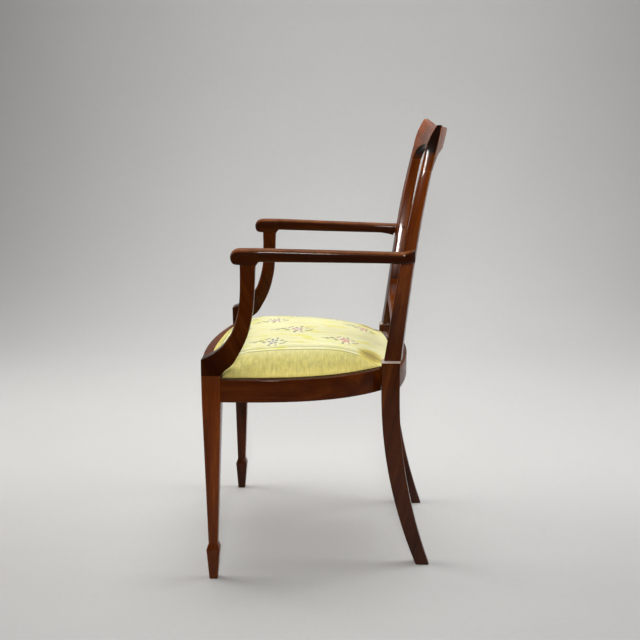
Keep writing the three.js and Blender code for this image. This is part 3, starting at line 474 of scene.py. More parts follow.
def same_count(rings):
    """Rings of unlike division, each walked round evenly so that they join."""
    most = max(len(r) for r in rings)
    out = []
    for ring in rings:
        if len(ring) == most:
            out.append(ring)
            continue
        n = len(ring)
        out.append([tuple(lerp(ring[int(i * n / most)][k], ring[(int(i * n / most) + 1) % n][k], (i * n / most) % 1)
                          for k in range(3)) for i in range(most)])
    return out


pair("rear_leg", same_count(rear_leg_rings()), wood_stile)


# Ribbons that follow the bowed and raked back
def ribbon(rows, depth_at, roll, radii_at, face, crown_at=lambda x, z: 0):
    """Rings across rows of (outer x, outer z, inner x, inner z); roll sets the front face back by height."""
    rings = []
    for ox, oz, ix, iz in rows:
        w = math.hypot(ox - ix, oz - iz)
        d = depth_at(ox)
        ring = []
        for a, q in section(w, d, radii_at(ox, oz), crown_at(ox, oz), face, 4):
            x, z = lerp(ox, ix, a / w), lerp(oz, iz, a / w)
            f = roll(z)
            ring.append((x, back_front(x, z) + f + q * (1 - f / d), z))
        rings.append(ring)
    return rings


def both_halves(half):
    """Rows from one side to the middle, and on to the other side."""
    return half + [(-a, b, -c, d) for a, b, c, d in reversed(half[:-1])]


# Crest
ARCH_DROP, CREST_DIP, CREST_ROLL, CREST_ROLL_HEIGHT, CREST_SWELL = 53.5, 16, 12.8, 50, 4
CREST_RADII = (2.2, 2.6, 2.6, 2.2)
EAR_FROM, EAR_HEIGHT = 205, 62  # where the stile's round edges run on into the crest
ARCH_X = [1, 0.955, 0.89, 0.82, 0.75, 0.69, 0.6, 0.5, 0.4, 0.3, 0.2, 0.1, 0]
ARCH_RISE = [0, 0.33, 0.59, 0.73, 0.82, 0.87, 0.93, 0.962, 0.98, 0.992, 1, 1, 1]
TOP_X = [1, 0.88, 0.74, 0.6, 0.46, 0.33, 0.22, 0.11, 0]
TOP_DIP = [0, 0.28, 0.56, 0.82, 0.97, 0.98, 0.9, 0.79, 0.75]


def crest_rows():
    outer, inner = stile_place(JOINT + FIT, 0, 0), stile_place(JOINT + FIT, STILE_WIDTH, 0)
    ear = outline_x(OVERALL)
    edge = [(outline_x(z), z) for z in even(outer[2], OVERALL, 4)]
    edge += [(x * ear, OVERALL - CREST_DIP * d) for x, d in zip(TOP_X[1:], TOP_DIP[1:])]
    arch = [(x * inner[0], lerp(inner[2], OVERALL - ARCH_DROP, z)) for x, z in zip(ARCH_X, ARCH_RISE)]
    rows = [(*a, *b) for a, b in zip(edge, arch)]
    return both_halves(curve(rows[:5], 22) + curve(rows[4:], 56)[1:])


def crest_depth(x):
    return CREST_DEPTH + CREST_SWELL * (1 - (x / HALF_WIDTH) ** 2)


def crest_roll(z):
    return CREST_ROLL * (max(0, z - OVERALL + CREST_ROLL_HEIGHT) / CREST_ROLL_HEIGHT) ** 2


def crest_end(x, z):
    """1 at the joint with the stile, falling to 0 at the ear and along the top."""
    return max(0, 1 - max(0, z - JOINT) / EAR_HEIGHT) if abs(x) > EAR_FROM else 0


def crest_radii(x, z):
    return [lerp(r, end, crest_end(x, z)) for r, end in zip(CREST_RADII, STILE_END)]


def crest_crown(x, z):
    return tuple(c * crest_end(x, z) for c in STILE_CROWN)


loft("crest_rail", ribbon(crest_rows(), crest_depth, crest_roll, crest_radii, 9, crest_crown), wood_crest, sharp=44)

# Curved rail at the foot of the shield
FOOT_HALF_WIDTH, FOOT_LOW, FOOT_RISE, FOOT_DEPTH, FOOT_TRIM = 190, LEDGE + 6.5, 129, 23, 178
FOOT_UPPER = [(1, 1), (0.91, 0.744), (0.79, 0.597), (0.62, 0.484), (0.326, 0.322), (0, 0.225)]
FOOT_LOWER = [(0.947, 0.457), (0.842, 0.388), (0.726, 0.318), (0.579, 0.229), (0.305, 0.085), (0, 0)]


def foot_place(share):
    return (share[0] * FOOT_HALF_WIDTH, FOOT_LOW + share[1] * FOOT_RISE)


def foot_rows():
    fine = curve(both_halves([(*foot_place(u), *foot_place(v)) for u, v in zip(FOOT_UPPER, FOOT_LOWER)]), 90)
    return [r for r in fine if min(r[0], r[2]) > -FOOT_TRIM and max(r[0], r[2]) < FOOT_TRIM]


loft("shield_foot_rail", ribbon(foot_rows(), lambda x: FOOT_DEPTH, lambda z: 0, lambda x, z: [4, 3.5, 2.5, 2.5], 4),
     wood_across)

# Splat bars: a rounded front with a bead down the middle and a hollow on each side of it
BAR_SPREAD, BAR_WIDTH, BAR_SWELL, BAR_DEPTH, BAR_RECESS, BAR_HOUSING = 84, 12, 7, 9, 3, 8
BEAD_HEIGHT, BEAD_SHARE, HOLLOW_DEPTH, HOLLOW_AT, HOLLOW_SHARE = 1.6, 0.42, 1.3, 0.55, 0.35
FAN = [(0, 0.34), (0.2, 0.5), (0.4, 0.74), (0.6, 0.92), (0.8, 1), (1, 1.06)]
BARS = ["right_outer", "right_inner", "centre", "left_inner", "left_outer"]


def bar_relief(side):
    """How far the front face stands forward, by the share of the way from the middle to an edge."""
    bead = BEAD_HEIGHT * (0.5 + 0.5 * math.cos(min(1, side / BEAD_SHARE) * math.pi))
    return bead - HOLLOW_DEPTH * max(0, 1 - abs(side - HOLLOW_AT) / HOLLOW_SHARE)


def bar_rings(index):
    reach = (index - 2) / 2 * BAR_SPREAD
    foot_top = smooth([foot_place(share) for share in reversed(FOOT_UPPER)], abs(reach * FAN[0][1]))
    low, high = foot_top - BAR_HOUSING, OVERALL - ARCH_DROP + BAR_HOUSING
    rings = []
    for t in even(0, 1, 40):
        z = lerp(low, high, t)
        w = BAR_WIDTH + BAR_SWELL * math.sin(math.pi * t) ** 2
        ring = []
        for a, q in section(w, BAR_DEPTH, [2.4, 2.4, 1.5, 1.5], 0, 8, 4):
            relief = bar_relief(abs(a / w - 0.5) * 2) if q < 4 else 0
            x = reach * smooth(FAN, t) + w / 2 - a
            ring.append((x, back_front(x, z) + BAR_RECESS + q - relief, z))
        rings.append(ring)
    return rings


for i, bar in enumerate(BARS):
    loft(f"splat_bar_{bar}", bar_rings(i), wood_stile)

# Seat rails with a rounded rim and the rebate behind it
FRONT_RAIL, FRONT_RIM, FRONT_BOW = 31, 19, 30
SIDE_RAIL, SIDE_RIM, SIDE_BOW, SIDE_SKEW, SIDE_REAR_X = 24, 12, 38.5, 0.6, 184
REAR_RAIL, REAR_BOW, REAR_INNER_BOW = 34, 21, 17
REBATE = 18


def rail_section(thickness, rim=0):
    pts = []

    def corner(cx, cz, r, start):
        for i in range(5):
            a = math.radians(start - 90 * i / 4)
            pts.append((cx + r * math.cos(a), cz + r * math.sin(a)))

    corner(1.2, RAIL_BOTTOM + 1.2, 1.2, 270)
    pts.extend((0, z) for z in even(RAIL_BOTTOM + 1.2, RAIL_TOP - 2.2, 4)[1:-1])
    corner(2.2, RAIL_TOP - 2.2, 2.2, 180)
    if rim:
        corner(rim - 1.2, RAIL_TOP - 1.2, 1.2, 90)
        pts.extend([(rim, RAIL_TOP - REBATE), (thickness, RAIL_TOP - REBATE)])
    else:
        corner(thickness - 1.5, RAIL_TOP - 1.5, 1.5, 90)
    return pts + [(thickness, RAIL_BOTTOM)]


def front_y(x):
    return LEG_FRONT - FRONT_BOW * (1 - (x / LEG_INNER) ** 2)


def rear_front(x):
    return REAR_BACK - REAR_RAIL + REAR_INNER_BOW * (1 - (x / REAR_INNER) ** 2)


def rear_back(x):
    return REAR_BACK + REAR_BOW * (1 - (x / REAR_INNER) ** 2)


def side_place(share, inward):
    """A point of the side rail, by its share of the way back and its distance inward from the outer face."""
    cx, cy = SIDE_REAR_X - LEG_OUTER, SEAT_DEPTH
    length = math.hypot(cx, cy)
    ox, oy = cy / length, -cx / length
    bow = SIDE_BOW * (1 - (2 * share - 1) ** 2) * (1 + SIDE_SKEW * (share - 0.5)) - inward
    return (LEG_OUTER + cx * share + ox * bow, LEG_BACK + cy * share + oy * bow)


def side_rail_rings():
    rings = []
    for share in even(-0.02, 1.02, 44):
        points = [(*side_place(share, inward), z) for inward, z in rail_section(SIDE_RAIL, SIDE_RIM)]
        rings.append([(x, min(max(y, LEG_BACK + FIT), REAR_FRONT - FIT), z) for x, y, z in points])
    return rings


loft("front_rail", [[(x, front_y(x) + a, z) for a, z in rail_section(FRONT_RAIL, FRONT_RIM)]
                    for x in even(FIT - LEG_INNER, LEG_INNER - FIT, 40)], wood_across)
pair("side_rail", side_rail_rings(), wood_rail)
loft("rear_rail", [[(x, rear_back(x) - a, z) for a, z in rail_section(rear_back(x) - rear_front(x))]
                   for x in even(FIT - REAR_INNER, REAR_INNER - FIT, 36)], wood_across)

# Arms: heights of the top and the underside from head to stile, and places along y
ARM_TOP, ARM_REAR_TOP, ARM_END_RISE = 711, 702, 6
ARM_MID_UNDER, ARM_REAR_UNDER = 685, 680
ARM_X, ARM_MID_X, ARM_REAR_X = 249.6, 241, 234.5
HEAD_WIDTH, ARM_WIDTH, ARM_END_TAPER = 30, 26, 16
HEAD_Y, ARM_END_LENGTH, ARM_FILLET = -171, 30, 12
ARM_END_Y = back_front(outline_x(ARM_REAR_TOP), ARM_REAR_TOP) + stile_depth(ARM_REAR_TOP)
ARM_LAP_Y = ARM_END_Y - ARM_END_LENGTH
FLARE, FLARE_LENGTH = 8, 36  # lower inner corner ahead of the stile

# Arm supports: outlines by shares of the run and of the rise
SUPPORT_TOP, SUPPORT_TOP_FRONT, SUPPORT_TOP_REAR = 678.7, -151.4, -119.9
SUPPORT_FLARE, SUPPORT_FLARE_FROM = 1.6, 672
SUPPORT_FRONT = [(0, 0), (0, 0.145), (0.24, 0.183), (0.41, 0.225), (0.547, 0.27), (0.689, 0.338), (0.804, 0.413),
                 (0.93, 0.562), (0.986, 0.695), (1, 0.85), (1, 1)]
SUPPORT_REAR = [(0, 0), (0.16, 0.05), (0.353, 0.104), (0.51, 0.185), (0.633, 0.257), (0.746, 0.342), (0.83, 0.43),
                (0.914, 0.562), (0.952, 0.695), (0.98, 0.85), (1, 1)]
SUPPORT_NARROW = [0, 0, 0.1, 0.24, 0.4, 0.58, 0.74, 0.9, 0.97, 1, 1]


def support_rings():
    rows = [(*f, *r, n) for f, r, n in zip(SUPPORT_FRONT, SUPPORT_REAR, SUPPORT_NARROW)]
    walk = [tuple(lerp(rows[0][k], rows[1][k], t) for k in range(5)) for t in (0, 0.03, 0.5, 0.97)]
    walk += curve(rows[1:], 60)
    rings = []
    bottom = LEG_TOP + FIT
    for fr, fz, rr, rz, n in walk:
        front = (lerp(LEG_FRONT, SUPPORT_TOP_FRONT, fr), lerp(bottom, SUPPORT_TOP, fz))
        rear = (lerp(LEG_BACK, SUPPORT_TOP_REAR, rr), lerp(bottom, SUPPORT_TOP, rz))
        w = lerp(LEG_SIZE, ARM_WIDTH, n)
        flare = max(0, (rear[1] - SUPPORT_FLARE_FROM) / (SUPPORT_TOP - SUPPORT_FLARE_FROM)) ** 2
        rear = (rear[0] + SUPPORT_FLARE * flare, rear[1])
        d = math.dist(front, rear)
        centre = lerp(LEG_X, ARM_X, fz)
        r = lerp(1.4, 5.5, min(1, max(0, fz - 0.12) / 0.3))
        rings.append([(centre + w / 2 - a, lerp(front[0], rear[0], q / d), lerp(front[1], rear[1], q / d))
                      for a, q in section(w, d, [r] * 4, 1.2 * n, 4, 5)])
    return rings


pair("arm_support", support_rings(), wood_support)

# Rows of the arm's head: share of its length, cut from below, cut from above, and share of its width
HEAD = [(0, 0.44, 0.5, 0.2), (0.03, 0.33, 0.4, 0.45), (0.1, 0.21, 0.29, 0.7), (0.25, 0.09, 0.16, 0.88),
        (0.5, 0.02, 0.06, 0.98), (0.8, 0, 0.015, 1), (1, 0, 0, 1)]
FILLET = [(0.13, 0), (0.25, 0.32), (0.42, 0.62), (0.67, 0.88), (1, 1)]  # run and rise


def arm_rows():
    """Rows of place along y, underside, top, centre and width."""
    under, height = SUPPORT_TOP + FIT, ARM_TOP - SUPPORT_TOP
    rows = [(HEAD_Y + (SUPPORT_TOP_FRONT - HEAD_Y) * a, under + height * low, ARM_TOP - height * high, ARM_X,
             HEAD_WIDTH * wide) for a, low, high, wide in HEAD]
    rows += [(SUPPORT_TOP_REAR + ARM_FILLET * a, lerp(under, ARM_MID_UNDER, rise), ARM_TOP, ARM_X,
              lerp(HEAD_WIDTH, ARM_WIDTH, a)) for a, rise in FILLET]
    start = rows[-1][0]
    bend = [(0, ARM_X), (0.5, ARM_MID_X), (1, ARM_REAR_X)]
    for s in (0.25, 0.5, 0.75, 1):
        rows.append((lerp(start, ARM_LAP_Y, s), lerp(ARM_MID_UNDER, ARM_REAR_UNDER, s),
                     lerp(ARM_TOP, ARM_REAR_TOP, s), smooth(bend, s), ARM_WIDTH))
    for s in (0.35, 0.7, 0.9, 1):
        taper = ARM_END_TAPER * s ** 3
        rows.append((lerp(ARM_LAP_Y, ARM_END_Y, s), ARM_REAR_UNDER, ARM_REAR_TOP + ARM_END_RISE * s,
                     ARM_REAR_X - taper / 2, ARM_WIDTH - taper))
    return rows


def arm_rings():
    rings = []
    for y, low, high, centre, w in curve(arm_rows(), 150):
        h = high - low
        r = min(6.5, h * 0.42, w * 0.3)
        rb = min(4.0, h * 0.3, w * 0.3)
        ahead = ARM_LAP_Y - 1 - y
        flare = FLARE * max(0, 1 - ahead / FLARE_LENGTH) ** 1.6 if ahead > 0 else 0
        rings.append([(centre + w / 2 - a, y, high - d - flare * (a / w) ** 2 * max(0, d / h) ** 2)
                      for a, d in section(w, h, [r, r, rb, rb], 0.8, 3, 6)])
    return rings


pair("arm", arm_rings(), wood_along, sharp=50)

# Seat pad: a domed form on the seat's outline, swollen as cloth
PAD_Y = -60.0  # where the dome is highest
PAD_BOTTOM, PAD_EDGE, PAD_CROWN, PAD_DRAWN_IN, SEAT_CLEAR = 445.8, 2, 48, 1.2, 1.5
PAD_FRONT_POWER, PAD_REAR_POWER, PAD_POWER = 0.75, 0.92, 2.5
PAD_STEPS, PAD_CROWDING = 84, 1.25  # steps across, and how far they crowd toward the rim

# Folds by their two ends, width and depth; a negative depth is a ridge
FOLDS = [(163, 134, 118, 92, 9, 8.5), (166, 128, 138, 82, 5, -3.0), (238, -186, 200, -150, 8, 4.0),
         (236, -196, 205, -172, 5, -1.5)]


def seat_half():
    """Outline of the seat from the front's middle to the rear's."""
    notch_x, notch_y, rear_x = LEG_INNER - SEAT_CLEAR, LEG_BACK + SEAT_CLEAR, REAR_INNER - SEAT_CLEAR
    pts = [(x, front_y(x) + FRONT_RIM + SEAT_CLEAR) for x in even(0, notch_x, 24)]
    pts.append((notch_x, notch_y))
    for share in even(SEAT_CLEAR / SEAT_DEPTH, 1, 30):
        x, y = side_place(share, SIDE_RIM + SEAT_CLEAR)
        pts.append((max(x, rear_x), max(y, notch_y)))
    pts.append((rear_x, REAR_FRONT))
    return pts + [(x, rear_front(x) - SEAT_CLEAR) for x in even(rear_x, 0, 12)]


def seat_reach():
    """Returns the distance from the dome's centre to the seat's outline, by angle."""
    half = seat_half()
    ring = half + [(-x, y) for x, y in reversed(half[1:-1])]
    polar = sorted((math.atan2(y - PAD_Y, x), math.hypot(x, y - PAD_Y)) for x, y in ring)
    polar = [(polar[-1][0] - math.tau, polar[-1][1])] + polar + [(polar[0][0] + math.tau, polar[0][1])]

    def reach(angle):
        low, high = 0, len(polar) - 1
        while high - low > 1:
            mid = (low + high) // 2
            if polar[mid][0] <= angle:
                low = mid
            else:
                high = mid
        (a, ra), (b, rb) = polar[low], polar[high]
        # straight edge between the two points of the outline
        xa, ya, xb, yb = ra * math.cos(a), ra * math.sin(a), rb * math.cos(b), rb * math.sin(b)
        cross = (xb - xa) * math.sin(angle) - (yb - ya) * math.cos(angle)
        if abs(cross) < 1e-9:
            return lerp(ra, rb, (angle - a) / max(b - a, 1e-9))
        return ((xb - xa) * ya - (yb - ya) * xa) / cross

    return reach


def pad_height(y_edge, share):
    rearward = max(0, (y_edge - LEG_BACK) / SEAT_DEPTH)
    power = lerp(PAD_FRONT_POWER, PAD_REAR_POWER, rearward ** 3)
    return RAIL_TOP + PAD_EDGE + PAD_CROWN * max(0, 1 - share ** PAD_POWER) ** power


def build_pad():
    """The pad as a square grid drawn out to the seat's outline, and the points of its top inside the rim."""
    seat = seat_reach()
    n = PAD_STEPS
    top, bottom = {}, {}
    verts, faces, free = [], [], set()
    for i in range(n + 1):
        for j in range(n + 1):
            u, v = 2 * i / n - 1, 2 * j / n - 1
            dx, dy = u * math.sqrt(1 - v * v / 2), v * math.sqrt(1 - u * u / 2)
            share = min(1.0, math.hypot(dx, dy))
            angle = math.atan2(dy, dx) if share > 1e-9 else 0.0
            share = 1 - (1 - share) ** PAD_CROWDING
            reach = seat(angle)
            x, y = reach * share * math.cos(angle), PAD_Y + reach * share * math.sin(angle)
            rim = i in (0, n) or j in (0, n)
            top[i, j] = len(verts)
            if not rim:
                free.add(len(verts))
            verts.append(place((x, y, pad_height(PAD_Y + reach * math.sin(angle), 1.0 if rim else share))))
            k = 1 - PAD_DRAWN_IN / max(reach, 1)
            bottom[i, j] = len(verts)
            verts.append(place((x * k, PAD_Y + (y - PAD_Y) * k, PAD_BOTTOM)))
    for i in range(n):
        for j in range(n):
            a, b, c, d = (i, j), (i + 1, j), (i + 1, j + 1), (i, j + 1)
            faces.append([top[k] for k in (a, b, c, d)])
            faces.append([bottom[k] for k in (d, c, b, a)])
    loop = [(i, 0) for i in range(n)] + [(n, j) for j in range(n)] + [(i, n) for i in range(n, 0, -1)]
    loop += [(0, j) for j in range(n, 0, -1)]
    for p, q in zip(loop, loop[1:] + loop[:1]):
        faces.append([top[p], bottom[p], bottom[q], top[q]])
    mesh = bpy.data.meshes.new("viz_seat_pad")
    mesh.from_pydata(verts, [], faces)
    return bpy.data.objects.new("viz_seat_pad", mesh), free


def swell(obj, free, frames=20, cap=0.004, lowered=0.0025):
    """Cloth under pressure with its rim held; every point's move is capped. Lengths in metres."""
    mesh = obj.data
    for i in free:
        mesh.vertices[i].co.z -= lowered
    start = [v.co.copy() for v in mesh.vertices]
    held = obj.vertex_groups.new(name="held")
    held.add([v.index for v in mesh.vertices if v.index not in free], 1.0, "REPLACE")
    cloth = obj.modifiers.new("swell", "CLOTH")
    s = cloth.settings
    s.quality = 6
    s.mass = 0.3
    s.tension_stiffness = s.compression_stiffness = 18
    s.shear_stiffness = 8
    s.bending_stiffness = 0.6
    s.vertex_group_mass = "held"
    s.use_pressure = True
    s.uniform_pressure_force = 4
    s.effector_weights.gravity = 0
    scene = bpy.context.scene
    for f in range(1, frames + 1):
        scene.frame_set(f)
    done = obj.evaluated_get(bpy.context.evaluated_depsgraph_get()).data
    moved = [v.co.copy() for v in done.vertices]
    scene.frame_set(1)
    obj.modifiers.clear()
    obj.vertex_groups.clear()
    for v, a, b in zip(mesh.vertices, start, moved):
        step = b - a
        v.co = a + step * min(1, cap / max(step.length, 1e-9))


def valley(co, ax, ay, bx, by, width, depth):
    """How far a fold from A to B lowers a point; it fades toward B."""
    px, py = co.x * 1000, co.y * 1000 - SHIFT
    lx, ly = bx - ax, by - ay
    t = ((px - ax) * lx + (py - ay) * ly) / (lx * lx + ly * ly)
    t = min(1, max(0, t))
    gap = math.hypot(px - ax - lx * t, py - ay - ly * t)
    return depth * math.exp(-(gap / width) ** 2) * (1 - t) ** 0.8


def sculpt_pad(obj):
    """Folds and a slight unevenness, which fade toward the pad's lower edge."""
    for v in obj.data.vertices:
        rise = v.co.z * 1000 - PAD_BOTTOM
        if rise < 1.2:
            continue
        lift = min(1, (rise - 1) / 12)
        p = v.co
        drop = sum(valley(p, side * ax, ay, side * bx, by, width, depth)
                   for side in (1, -1) for ax, ay, bx, by, width, depth in FOLDS)
        wave = noise.noise(Vector((p.x * 9, p.y * 14, 3.7))) + noise.noise(Vector((p.x * 26, p.y * 18, 9.1))) * 0.4
        v.co.z -= (drop * lift + wave * lift * 0.8) / 1000


# Needlework cover. Its places are metres in the source's own frame.
STITCH = 0.0015
BORDER_REACH = 0.3  # the border's half widths are shares of this, by shares of the way from front to rear
BORDER = [(0.0, 0.66), (0.25, 0.612), (0.37, 0.583), (0.52, 0.545), (0.625, 0.523), (0.756, 0.495), (0.834, 0.513),
          (0.898, 0.56)]
BORDER_LINES = [(0.0, 0.0024, 0.9, rgb(0.20, 0.18, 0.05)), (-0.0125, 0.0022, 0.75, rgb(0.26, 0.25, 0.09)),
                (-0.0195, 0.0020, 0.45, rgb(0.30, 0.29, 0.11))]
# Side band colour by height: painted shade and light over the band's own gold
SIDE_BAND_SHADING = [(0.0, rgb(0.55, 0.40, 0.06)), (0.10, rgb(0.86, 0.72, 0.17)), (0.30, rgb(0.74, 0.63, 0.14)),
             (0.60, rgb(0.74, 0.66, 0.18)), (0.85, rgb(0.88, 0.82, 0.38)), (1.0, rgb(0.90, 0.87, 0.50))]
SPRIG_COLOURS = {
    "mauve": (rgb(0.36, 0.14, 0.17), rgb(0.95, 0.90, 0.84), rgb(0.07, 0.09, 0.06)),
    "rose": (rgb(0.56, 0.10, 0.11), rgb(0.92, 0.60, 0.56), rgb(0.03, 0.05, 0.03)),
    "blue": (rgb(0.16, 0.18, 0.23), rgb(0.90, 0.87, 0.74), rgb(0.05, 0.07, 0.05)),
    "pink": (rgb(0.58, 0.15, 0.15), rgb(0.92, 0.72, 0.66), rgb(0.06, 0.09, 0.05)),
}
# Each sprig's place in millimetres, turn in degrees, size in millimetres and colours
SPRIGS = [
    (29, -49, 90, 27, "mauve"), (126, -97, 95, 23, "blue"), (-71, -107, 85, 24, "mauve"), (85, 59, 88, 23, "rose"),
    (-68, 100, 96, 21, "pink"), (-142, 38, 84, 20, "pink"), (-158, -70, 90, 21, "blue"), (-15, -186, 92, 22, "rose"),
    (112, -196, 88, 20, "pink"), (-128, -182, 92, 20, "mauve"),
]
# Leaves and buds round a flower: place and half widths, in units of its size
LEAVES = [(1.25, 0.34, 0.34, 0.12), (1.8, -0.26, 0.34, 0.11), (-1.2, 0.42, 0.30, 0.13), (-1.15, -0.40, 0.34, 0.13),
          (0.35, 0.95, 0.20, 0.20), (-0.4, -0.92, 0.20, 0.20), (2.5, 0.24, 0.3, 0.10), (-0.55, 0.86, 0.16, 0.13),
          (0.75, -0.82, 0.18, 0.14), (-1.75, -0.10, 0.22, 0.10)]
BUDS = [(-1.6, 0.25, 0.20, 0.15), (1.05, -0.50, 0.20, 0.16)]


def cover_ground(t, snapped):
    """Pale yellow with faint lines from front to back and faded brighter patches."""
    colour = t.mix(t.stretched(snapped, (150, 7, 1), 3, 0.6), rgb(0.86, 0.83, 0.40), rgb(0.94, 0.93, 0.61))
    patches = t.span(t.stretched(snapped, (34, 15, 1), 3, 0.6), 0.53, 0.62)
    colour = t.mix(t.times(patches, 0.75), colour, rgb(0.84, 0.80, 0.13))
    fine = t.span(t.stretched(snapped, (420, 10, 1), 2, 0.5), 0.58, 0.66)
    return t.mix(t.times(fine, 0.42), colour, rgb(0.42, 0.42, 0.20))


def border_distances(t, sx, sy, side):
    """How far outward of the border line a point lies at the sides and at the front."""
    border = t.ramp(t.span(sy, -0.25, 0.16), BORDER, "B_SPLINE")
    bowed = t.times(t.times(sx, sx), 0.5)
    front = t.minus(t.math("ADD", bowed, -0.222), sy)
    return t.minus(side, t.times(border, BORDER_REACH)), front


def side_band(t, snapped, height, is_front):
    """Golden ribbed band round the pad's sides, its colour by height painted light and shade."""
    rib = t.mix(is_front, t.stretched(snapped, (26, 430, 1), 3, 0.6), t.stretched(snapped, (430, 26, 1), 3, 0.6))
    depth = t.span(height, 0.4455, 0.4880)
    # by height: dark at the foot, a lit strip above it, duller in the middle, pale toward the top, as painted shade
    # and light
    colour = t.ramp(depth, SIDE_BAND_SHADING)
    colour = t.mix(t.span(rib, 0.30, 0.72, 0.45, 0.0), colour, rgb(0.36, 0.32, 0.09))
    colour = t.mix(t.span(rib, 0.50, 0.85, 0.0, 0.5), colour, rgb(0.92, 0.88, 0.52))
    # a mottled darker patch across the middle: painted shade
    mottled_shade = t.span(t.stretched(snapped, (40, 120, 1), 5, 0.7), 0.44, 0.64, 0.0, 0.5)
    middle = t.span(t.gap(depth, 0.42), 0.42, 0.1)
    return t.mix(t.times(mottled_shade, middle), colour, rgb(0.30, 0.26, 0.07))


def rear_hollow_shade(t, colour, side, sy):
    """Painted shade in a hollow at each rear corner, ochre darkening to its core, and a painted shadow along a crease
    toward the leg.
    """
    gap_x = t.times(t.minus(side, 0.136), 1 / 0.034)
    gap_y = t.times(t.minus(sy, 0.116), 1 / 0.030)
    hollow_shade = t.squares(gap_x, gap_y)
    # painted shade of the hollow
    colour = t.mix(t.span(hollow_shade, 1.3, 0.5, 0.0, 0.9), colour, rgb(0.74, 0.61, 0.06))
    colour = t.mix(t.span(hollow_shade, 0.8, 0.1, 0.0, 0.9), colour, rgb(0.33, 0.21, 0.008))
    # painted shadow line along the crease
    crease_shadow = t.minus(side, t.math("MULTIPLY_ADD", t.minus(sy, 0.06), 0.45, 0.108))
    crease_shadow = t.times(t.span(t.math("ABSOLUTE", crease_shadow), 0.0035, 0.001), t.span(sy, 0.082, 0.102))
    return t.mix(t.times(crease_shadow, 0.9), colour, rgb(0.10, 0.08, 0.01))


def needlework():
    mat, t, shader = new_material("needlework_cover")
    coords = t.coords()
    centred = t.node("VectorMath", {0: coords, 1: (0, -SHIFT / 1000, 0)}, operation="ADD").outputs[0]
    x, y, height = t.split(centred)
    cell = [t.times(along, 1 / STITCH) for along in (x, y)]
    middle = [t.times(t.math("ADD", t.math("FLOOR", c), 0.5), STITCH) for c in cell]
    snapped = t.node("CombineXYZ", {0: middle[0], 1: middle[1]}).outputs[0]
    sx, sy = t.split(snapped)[:2]
    side = t.math("ABSOLUTE", sx)

    at_side, at_front = border_distances(t, sx, sy, side)
    outward = t.math("MAXIMUM", at_side, at_front)
    band = side_band(t, snapped, height, t.math("GREATER_THAN", at_front, at_side))
    colour = t.mix(t.span(outward, 0.0, 0.004), cover_ground(t, snapped), band)
    for at, half, strength, shade in BORDER_LINES:
        line = t.span(t.gap(outward, at), half, half * 0.4)
        colour = t.mix(t.times(line, strength), colour, shade)
    colour = rear_hollow_shade(t, colour, side, sy)

    group = sprig_group()
    for x, y, angle, size, kind in SPRIGS:
        petal, heart, leaf = SPRIG_COLOURS[kind]
        colour = t.node("Group", {
            "Point": snapped, "Colour": colour, "Centre": (x / 1000, y / 1000, 0), "Angle": math.radians(angle),
            "Size": size / 1000, "Petal": petal, "Heart": heart, "Leaf": leaf}, node_tree=group).outputs[0]

    # stitches: small rounded knots in rows, darker in the gaps between knots as painted shade, with soiling on top
    arch = [t.math("SINE", t.times(t.math("FRACT", c), math.pi)) for c in cell]
    knot = t.math("POWER", t.times(arch[0], arch[1]), 0.5)
    colour = t.mix(t.span(knot, 0.0, 0.7, 0.35, 0.0), colour, rgb(0.33, 0.29, 0.11))
    colour = t.mix(t.span(t.speckle(snapped), 0.0, 1.0, 0.0, 0.16), colour, rgb(0.52, 0.48, 0.22))
    soil = t.span(t.noise(coords, 7.0, 5, 0.6), 0.45, 0.75, 0.0, 0.25)
    soft = t.bump(t.noise(coords, 60.0, 3, 0.5), 0.3, 0.002)
    t.feed(shader, {
        "Base Color": t.mix(soil, colour, rgb(0.55, 0.49, 0.20)), "Normal": t.bump(knot, 0.55, 0.0006, soft),
        "Roughness": 0.92, "Sheen Weight": 0.12, "Sheen Roughness": 0.5, "Specular IOR Level": 0.2})
    return mat


